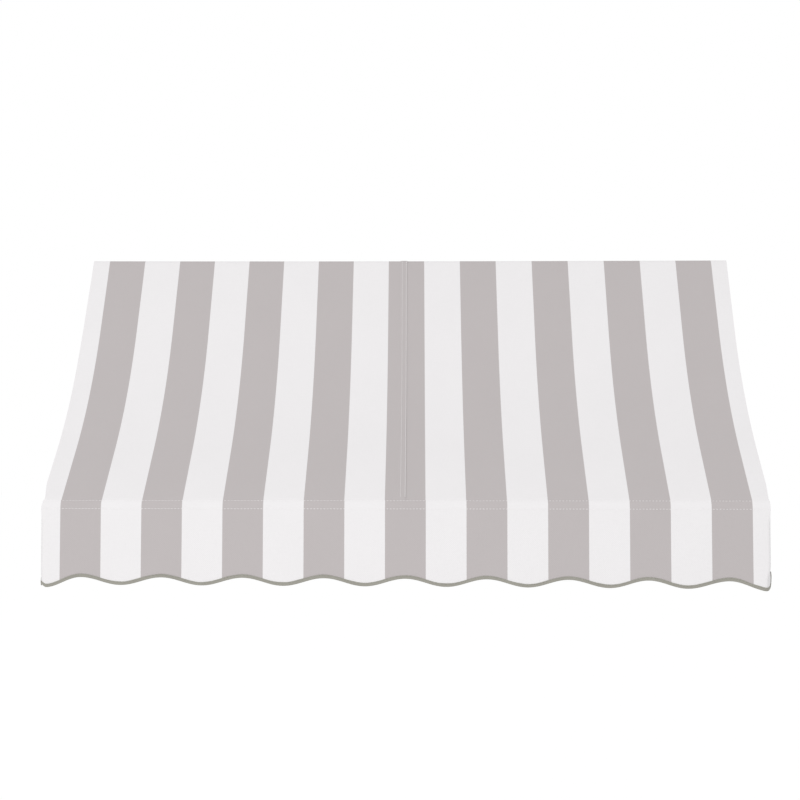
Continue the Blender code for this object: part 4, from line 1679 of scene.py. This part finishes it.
@dataclass
class Pockets:
    """Cloth strips sewn inside the cover, each looped round one tube.

    Attributes:
        ripple: How far the free part of a strip ripples in.
        ripple_turns: Turn of the ripple for each metre along the tube and each point round it.
        flat_edge: Width of the part at each edge that doesn't ripple.
        row: Length of a row.
        loop_points: Points round the tube.
        fold_points: Points round each fold.
    """

    finishes: Finishes
    sizes: Sizes = SIZES
    lines: CoverLines = LINES
    ripple: float = 0.0005
    ripple_turns: tuple[float, float] = (61.0, 0.2)
    flat_edge: float = 0.012
    row: float = 0.010
    loop_points: int = 25
    fold_points: int = 6

    def path(
        self, radius: float, across: np.ndarray, out: np.ndarray, faces: Sequence[Face]
    ) -> np.ndarray:
        """Draw the line of the strip round the tube, in a plane whose origin is the tube's axis.

        Args:
            radius: Radius of the loop.
            across: Direction from the loop's second leg to its first.
            out: Direction out to the cover.
            faces: Point, normal and flange direction of the cover at each leg.

        Returns:
            Points from the first flange's edge to the second's.
        """
        s = self.sizes
        turns = np.linspace(0.0, math.pi, self.loop_points)
        loop = radius * (np.cos(turns)[:, None] * across - np.sin(turns)[:, None] * out)
        ends, folds = [], []
        for (point, normal, flange), leg in zip(faces, (loop[0], loop[-1])):
            depth = -(s.gap + s.cloth / 2) - float((leg - point) @ normal)
            corner = leg + out * (depth / float(out @ normal))
            end = corner + flange * s.flange
            ends.append(end)
            folds.append(self.fold(end, corner, leg))
        return np.vstack([ends[0], folds[0], loop, folds[1][::-1], ends[1]])

    def fold(self, before: np.ndarray, corner: np.ndarray, after: np.ndarray) -> np.ndarray:
        """Round a folded corner.

        Args:
            before: Point before it.
            corner: The corner.
            after: Point after it.

        Returns:
            Points round it, from the first side to the second.
        """
        back = (before - corner) / np.linalg.norm(before - corner)
        ahead = (after - corner) / np.linalg.norm(after - corner)
        half = math.acos(max(-1.0, min(1.0, float(back @ ahead)))) / 2
        reach = self.sizes.fold_radius / math.tan(half)
        shares = np.linspace(0.0, 1.0, self.fold_points)[:, None]
        first, last = corner + back * reach, corner + ahead * reach
        return (1 - shares) ** 2 * first + 2 * shares * (1 - shares) * corner + shares**2 * last

    def strip(
        self, name: str, axis: int, out: np.ndarray, across: np.ndarray, faces: FaceRule, tube: str
    ) -> None:
        """Make one pocket.

        Args:
            name: Name of the CAD pocket that it replaces.
            axis: Axis that the tube runs along.
            out: Direction out to the cover.
            across: Direction from the second leg to the first.
            faces: Gives point, normal and flange direction of the cover at each leg, from the tube's axis.
            tube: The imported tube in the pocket.
        """
        s = self.sizes
        low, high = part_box(name)
        centre = (np.array(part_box(tube)[0]) + np.array(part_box(tube)[1])) / 2
        centre[axis] = 0.0
        line = self.path(s.wrap_radius + s.cloth / 2, across, out, faces(centre))
        legs = np.linalg.norm(np.diff(line, axis=0), axis=1)
        wide = np.concatenate([[0.0], np.cumsum(legs)])
        inside = (wide - self.flat_edge) / (wide[-1] - 2 * self.flat_edge)
        free = np.sin(np.clip(inside, 0.0, 1.0) * math.pi)
        run = np.linspace(low[axis], high[axis], int((high[axis] - low[axis]) / self.row) + 1)
        direction = np.eye(3)[axis]

        def place(part: np.ndarray, distance: np.ndarray) -> tuple[np.ndarray, np.ndarray]:
            """Lay the strip along the tube.

            Args:
                part: Number of each point round the tube.
                distance: Places along it.

            Returns:
                Points and cut coordinates.
            """
            index = np.rint(part).astype(int)
            wave = np.sin(distance * self.ripple_turns[0] + index * self.ripple_turns[1])
            away = -out * (self.ripple * free[index] * (1.0 + wave))[:, None]
            points = centre + line[index] + direction * distance[:, None] + away
            return points, np.column_stack([wide[index], distance])

        piece = lay_cloth(f"{name}_cloth", np.arange(float(len(line))), run, place)
        thicken(piece, s.cloth)
        dress(piece, self.finishes.plain, [name])

    def build(self) -> None:
        """Make all six pockets."""
        s, bend = self.sizes, self.lines.bend
        middle = (s.slope_low + s.flare) / 2
        slope = in_section(bend + facing(s.slope_low) * s.bend_radius)
        lap = in_section(bend + facing(s.flare) * s.bend_radius)

        def front_faces(centre: np.ndarray) -> list[Face]:
            """Give the slope above the front tube and the lap below it.

            Args:
                centre: The tube's axis.

            Returns:
                Point, normal and flange direction of each.
            """
            return [
                (slope - centre, in_section(facing(s.slope_low)), in_section(-heading(s.slope_low))),
                (lap - centre, in_section(facing(s.flare)), in_section(heading(s.flare))),
            ]

        for side in Side:
            end = side.label
            self.strip(
                f"front_pocket_{end}",
                0,
                in_section(facing(middle)),
                in_section(-heading(middle)),
                front_faces,
                f"front_tube_{end}",
            )
            outward = np.array([float(side.value), 0.0, 0.0])
            wing = outward * (s.half_width - s.cloth)
            for kind, axis, flange, tube, rail in (
                ("side", 1, 2, "side_tube", "side_rail"),
                ("upright", 2, 1, "upright", "upright_tube"),
            ):
                direction = np.eye(3)[flange]

                def side_faces(centre: np.ndarray, direction: np.ndarray = direction) -> list[Face]:
                    """The wing on both sides of the tube."""
                    level = wing - outward * float(centre @ outward)
                    return [(level, outward, direction), (level, outward, -direction)]

                self.strip(
                    f"{kind}_pocket_{end}",
                    axis,
                    outward,
                    direction,
                    side_faces,
                    f"{tube}_{end}",
                )


# Frame


@dataclass
class Tubes:
    """The aluminium tubes of the frame.

    Attributes:
        sides: Sides of a tube.
        curve_steps: Steps of a rafter's curve.
        collar: Length of the joints' collars at a rafter's ends.
        turns: Turn of a tube's end for each axis that it can run along.
    """

    finishes: Finishes
    sizes: Sizes = SIZES
    lines: CoverLines = LINES
    sides: int = 40
    curve_steps: int = 18
    collar: float = 0.045
    turns: dict[int, tuple[float, float, float]] = field(
        default_factory=lambda: {
            0: (0.0, math.pi / 2, 0.0),
            1: (math.pi / 2, 0.0, 0.0),
            2: (0.0, 0.0, 0.0),
        }
    )

    def finish(self, piece: bpy.types.Object, node: str) -> None:
        """Give an open round shell its wall and dress it.

        Args:
            piece: The shell.
            node: The CAD tube that it replaces.
        """
        modify(piece, "SOLIDIFY", thickness=self.sizes.tube_wall, offset=-1.0, use_even_offset=True)
        smooth(piece)
        dress(piece, self.finishes.tube, [node])

    def ring(self, name: str, place: Sequence[float], turn: Sequence[float]) -> bpy.types.Object:
        """Add a circle to draw a tube out of, in edit mode.

        Args:
            name: Name of the piece.
            place: Its middle.
            turn: Its turn about each axis.

        Returns:
            The piece.
        """
        bpy.ops.object.select_all(action="DESELECT")
        bpy.ops.mesh.primitive_circle_add(
            vertices=self.sides, radius=self.sizes.tube_radius, location=place, rotation=turn
        )
        piece = new_piece(name)
        apply_place(piece)
        bpy.ops.object.mode_set(mode="EDIT")
        bpy.ops.mesh.select_mode(type="EDGE")
        bpy.ops.mesh.select_all(action="SELECT")
        return piece

    def outwards(self, piece: bpy.types.Object) -> None:
        """Merge doubles, leave edit mode and turn the shell's faces outwards if they point in.

        Args:
            piece: The shell, in edit mode.
        """
        bpy.ops.mesh.select_all(action="SELECT")
        bpy.ops.mesh.remove_doubles(threshold=MERGE)
        leave_edit()
        centre = Vector(vertex_places(piece.data).mean(axis=0))
        faces = piece.data.polygons
        if sum((face.center - centre).dot(face.normal) * face.area for face in faces) < 0.0:
            bpy.ops.object.mode_set(mode="EDIT")
            bpy.ops.mesh.flip_normals()
            leave_edit()

    def straight(self, node: str, name: str, axis: int) -> None:
        """Draw a straight tube between two joints.

        Args:
            node: The CAD tube that it replaces.
            name: Name of the piece.
            axis: Axis that it runs along.
        """
        low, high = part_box(node)
        start = (low + high) / 2
        start[axis] = low[axis]
        piece = self.ring(name, start, self.turns[axis])
        move = Vector((0.0, 0.0, 0.0))
        move[axis] = high[axis] - low[axis]
        bpy.ops.mesh.extrude_region_move(TRANSFORM_OT_translate={"value": move})
        self.outwards(piece)
        self.finish(piece, node)

    def rafter(self, end: str, x: float) -> None:
        """Draw a rafter straight, spin it round the hollow curve and draw it straight again.

        Args:
            end: Left, middle or right, as its names say it.
            x: Where it stands across the awning.
        """
        s = self.sizes
        axis = self.lines.cover(-s.wrap_radius, 90.0)
        start_at = axis.distance_where(s.slope_top) + self.collar + s.gap
        curve_at = axis.distance_where(s.slope_top) + s.top_run
        y, z, _ = axis.at(np.array([start_at, curve_at]))
        centre = self.lines.slope_marks()[0]
        turn = (-math.radians(s.slope_top), 0.0, 0.0)
        piece = self.ring(f"rafter_tube_{end}", (x, y[0], z[0]), turn)
        step = Vector((0.0, y[1] - y[0], z[1] - z[0]))
        bpy.ops.mesh.extrude_region_move(TRANSFORM_OT_translate={"value": step})
        bpy.ops.mesh.spin(
            steps=self.curve_steps,
            angle=math.radians(s.slope_low - s.slope_top),
            center=(x, centre[0], centre[1]),
            axis=(1.0, 0.0, 0.0),
        )
        curve_end = centre - facing(s.slope_low) * (s.curve_radius + s.cloth + s.wrap_radius)
        foot = float((self.lines.front - curve_end) @ heading(s.slope_low)) - self.collar - s.gap
        step = Vector(in_section(heading(s.slope_low) * foot))
        bpy.ops.mesh.extrude_region_move(TRANSFORM_OT_translate={"value": step})
        self.outwards(piece)
        self.finish(piece, f"rafter_{end}")

    def build(self) -> None:
        """Make all tubes."""
        for side in Side:
            for node, name, axis in (
                ("head_tube", "head_rail", 0),
                ("front_tube", "front_rail", 0),
                ("side_tube", "side_rail", 1),
                ("upright", "upright_tube", 2),
            ):
                self.straight(f"{node}_{side.label}", f"{name}_{side.label}", axis)
            self.rafter(side.label, side.value * self.sizes.hub_x)
        self.rafter("middle", 0.0)


@dataclass
class Castings:
    """The cast joints and their wall plates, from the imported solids, with their edges eased.

    Attributes:
        ease: Width of the eased edges.
        ease_steps: Steps round them.
        flat_angle: Degrees below which two faces are one.
        edge_angle: Degrees from which an edge is eased.
    """

    finishes: Finishes
    ease: float = 0.0007
    ease_steps: int = 2
    flat_angle: float = 0.5
    edge_angle: float = 40.0

    def joint(self, node: str) -> None:
        """Ease the edges of one casting.

        Args:
            node: The CAD joint that it replaces.
        """
        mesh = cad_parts[node].data.copy()
        piece = bpy.data.objects.new(f"{node}_casting", mesh)
        bpy.context.scene.collection.objects.link(piece)
        select_only(piece)
        bpy.ops.object.mode_set(mode="EDIT")
        bpy.ops.mesh.select_all(action="SELECT")
        bpy.ops.mesh.remove_doubles(threshold=MERGE)
        bpy.ops.mesh.dissolve_limited(angle_limit=math.radians(self.flat_angle))
        leave_edit()
        limit = {"limit_method": "ANGLE", "angle_limit": math.radians(self.edge_angle)}
        modify(piece, "BEVEL", width=self.ease, segments=self.ease_steps, **limit)
        smooth(piece)
        dress(piece, self.finishes.casting, [node])

    def build(self) -> None:
        """Make all castings."""
        nodes = ["head_middle_joint", "front_middle_joint"]
        for side in Side:
            nodes += [f"{corner}_corner_{side.label}" for corner in ("head", "front", "rear")]
        for node in nodes:
            self.joint(node)


@dataclass
class Screws:
    """Button-head screws with a hexagon socket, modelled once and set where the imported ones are.

    Attributes:
        head: Radius of the head.
        height: Its height.
        crown_share: Share of the height that is rounded.
        crown_steps: Steps of the rounding.
        shank: Radius of the shank.
        length: Its length.
        socket: Radius of the socket.
        depth: Its depth.
        sides: Sides of the head.
    """

    finishes: Finishes
    head: float = 0.0046
    height: float = 0.0026
    crown_share: float = 0.7
    crown_steps: int = 4
    shank: float = 0.0022
    length: float = 0.0075
    socket: float = 0.0015
    depth: float = 0.0014
    sides: int = 24

    def model(self) -> bpy.types.Object:
        """Model the screw along Z, with its head's crown at the origin.

        Returns:
            The screw.
        """
        middle = (0.0, 0.0, -self.height / 2)
        bpy.ops.object.select_all(action="DESELECT")
        bpy.ops.mesh.primitive_cylinder_add(
            vertices=self.sides, radius=self.head, depth=self.height, location=middle
        )
        screw = new_piece("button_screw")
        apply_place(screw)
        pick_faces(screw, lambda centre, normal: normal.z < -0.9)
        bpy.ops.mesh.inset(thickness=self.head - self.shank)
        bpy.ops.mesh.extrude_region_move(TRANSFORM_OT_translate={"value": (0.0, 0.0, -self.length)})
        leave_edit()
        pick_faces(screw, lambda centre, normal: normal.z > 0.9)
        rounding = self.height * self.crown_share
        bpy.ops.mesh.bevel(offset=rounding, segments=self.crown_steps, affect="EDGES")
        leave_edit()
        bpy.ops.object.select_all(action="DESELECT")
        bpy.ops.mesh.primitive_cylinder_add(vertices=6, radius=self.socket, depth=self.depth * 2)
        cutter = new_piece("socket_cutter")
        apply_place(cutter)
        modify(screw, "BOOLEAN", operation="DIFFERENCE", object=cutter, solver="EXACT")
        bpy.data.objects.remove(cutter, do_unlink=True)
        smooth(screw)
        return screw

    def seat(self, node: str) -> Matrix:
        """Find where a packed screw's crown is and which way it points.

        Args:
            node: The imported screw.

        Returns:
            The move and turn that bring the model there.
        """
        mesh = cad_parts[node].data
        places = np.unique(np.round(vertex_places(mesh), 6), axis=0)
        centre = places.mean(axis=0)
        values, axes = np.linalg.eigh(np.cov((places - centre).T))
        spread = [abs(values[1] - values[2]), abs(values[0] - values[2]), abs(values[0] - values[1])]
        axis = axes[:, int(np.argmin(spread))]
        along = (places - centre) @ axis
        aside = np.linalg.norm(places - centre - np.outer(along, axis), axis=1)
        if along[aside > self.head * 0.9].mean() < along.mean():
            axis, along = -axis, -along
        crown = centre + axis * along.max()
        turn = Vector(axis).to_track_quat("Z", "Y").to_matrix().to_4x4()
        return Matrix.Translation(Vector(crown)) @ turn

    def build(self) -> None:
        """Make all screws."""
        model = self.model()
        for node in sorted(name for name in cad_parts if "_screw_" in name):
            piece = model.copy()
            piece.data = model.data.copy()
            piece.name = piece.data.name = f"{node}_steel"
            bpy.context.scene.collection.objects.link(piece)
            piece.data.transform(self.seat(node))
            dress(piece, self.finishes.screw, [node])
        bpy.data.objects.remove(model, do_unlink=True)


# Floor, light and camera


@dataclass
class Studio:
    """A plain white surround, level light and the photograph's camera.

    Attributes:
        floor_z: Height of the floor.
        floor_size: Length of its sides.
        floor_glow: How much it shines where it is seen.
        sky: Strength of the light from all round.
        key_power: Power of the lamp, in watts.
        key_size: Length of its sides.
        key_place: Where it stands.
        key_aim: Where it points.
        camera_place: Where the camera stands.
        camera_yaw: Degrees that it is turned to the left.
        lens: Its focal length, in millimetres.
        sensor: Width of its sensor, in millimetres.
        view_end: How far it sees.
    """

    floor_z: float = -2.30
    floor_size: float = 60.0
    floor_glow: float = 0.34
    sky: float = 0.825
    key_power: float = 91.0
    key_size: float = 4.0
    key_place: tuple[float, float, float] = (-1.2, -6.4, 0.6)
    key_aim: tuple[float, float, float] = (0.0, -0.4, -0.4)
    camera_place: tuple[float, float, float] = (0.0495, -4.4031, -0.3477)
    camera_yaw: float = 0.932
    lens: float = 75.6
    sensor: float = 36.0
    view_end: float = 200.0

    def world(self) -> None:
        """Shed white light all round, pure white where the camera or a gloss sees it."""
        world = bpy.data.worlds.new("studio")
        bpy.context.scene.world = world
        world.use_nodes = True
        tree = world.node_tree
        levels = {0: self.seen(tree), 1: 1.0 - self.sky, 2: self.sky}
        strength = add_node(tree, MATH, levels, operation="MULTIPLY_ADD")
        connect(tree.nodes["Background"], {"Color": linear("#FFFFFF"), "Strength": strength})

    @staticmethod
    def seen(tree: bpy.types.NodeTree) -> bpy.types.NodeSocket:
        """Tell rays that show the surround itself from rays that light the object.

        Args:
            tree: The node tree.

        Returns:
            1 for the former and 0 for the latter.
        """
        camera = add_node(tree, "ShaderNodeLightPath", {}, "Is Camera Ray")
        rays = camera.node.outputs
        direct = add_node(tree, MATH, {0: camera, 1: rays["Is Glossy Ray"]}, operation="ADD")
        through = {0: direct, 1: rays["Is Transmission Ray"]}
        return add_node(tree, MATH, through, operation="ADD", use_clamp=True)

    def floor(self) -> None:
        """Lay a floor of pale paint that shows white and keeps the awning's shadow."""
        bpy.ops.object.select_all(action="DESELECT")
        bpy.ops.mesh.primitive_plane_add(size=self.floor_size, location=(0.0, 0.0, self.floor_z))
        floor = new_piece("studio_floor")
        apply_place(floor)
        constants = {
            "Base Color": linear("#E7E7E7"),
            "Roughness": 0.9,
            "Specular IOR Level": 0.0,
            "Emission Color": linear("#FFFFFF"),
        }
        material, tree, shader = new_material("pale_floor_paint", constants)
        shine = {0: self.seen(tree), 1: self.floor_glow}
        connect(shader, {"Emission Strength": add_node(tree, MATH, shine, operation="MULTIPLY")})
        floor.data.materials.append(material)

    def light(self) -> None:
        """Set up one large soft lamp in front, a little above the awning."""
        bpy.ops.object.light_add(type="AREA", location=self.key_place)
        lamp = bpy.context.object
        lamp.name = "soft_front_light"
        lamp.data.energy = self.key_power
        lamp.data.size = self.key_size
        aim = Vector(self.key_aim) - lamp.location
        lamp.rotation_euler = aim.to_track_quat("-Z", "Y").to_euler()

    def camera(self) -> None:
        """Set up the camera where the photograph was taken from."""
        turn = (math.pi / 2, 0.0, math.radians(self.camera_yaw))
        bpy.ops.object.camera_add(location=self.camera_place, rotation=turn)
        camera = bpy.context.object
        camera.name = "photo_camera"
        camera.data.lens = self.lens
        camera.data.sensor_width = self.sensor
        camera.data.clip_end = self.view_end
        bpy.context.scene.camera = camera

    def build(self) -> None:
        """Make everything round the awning."""
        self.world()
        self.floor()
        self.light()
        self.camera()
        bpy.context.scene.view_settings.view_transform = "Standard"


def main() -> None:
    """Build the awning's looks, piece by piece."""
    logging.basicConfig(level=logging.INFO, format="%(name)s %(message)s")
    finishes = Finishes.make()
    needle = Needle()
    Tubes(finishes).build()
    Castings(finishes).build()
    Screws(finishes).build()
    Pockets(finishes).build()
    Wings(finishes, needle).build()
    TopCover(finishes, needle).build()
    Skirt(finishes, needle).build()
    Studio().build()


if __name__ == "__main__":
    main()
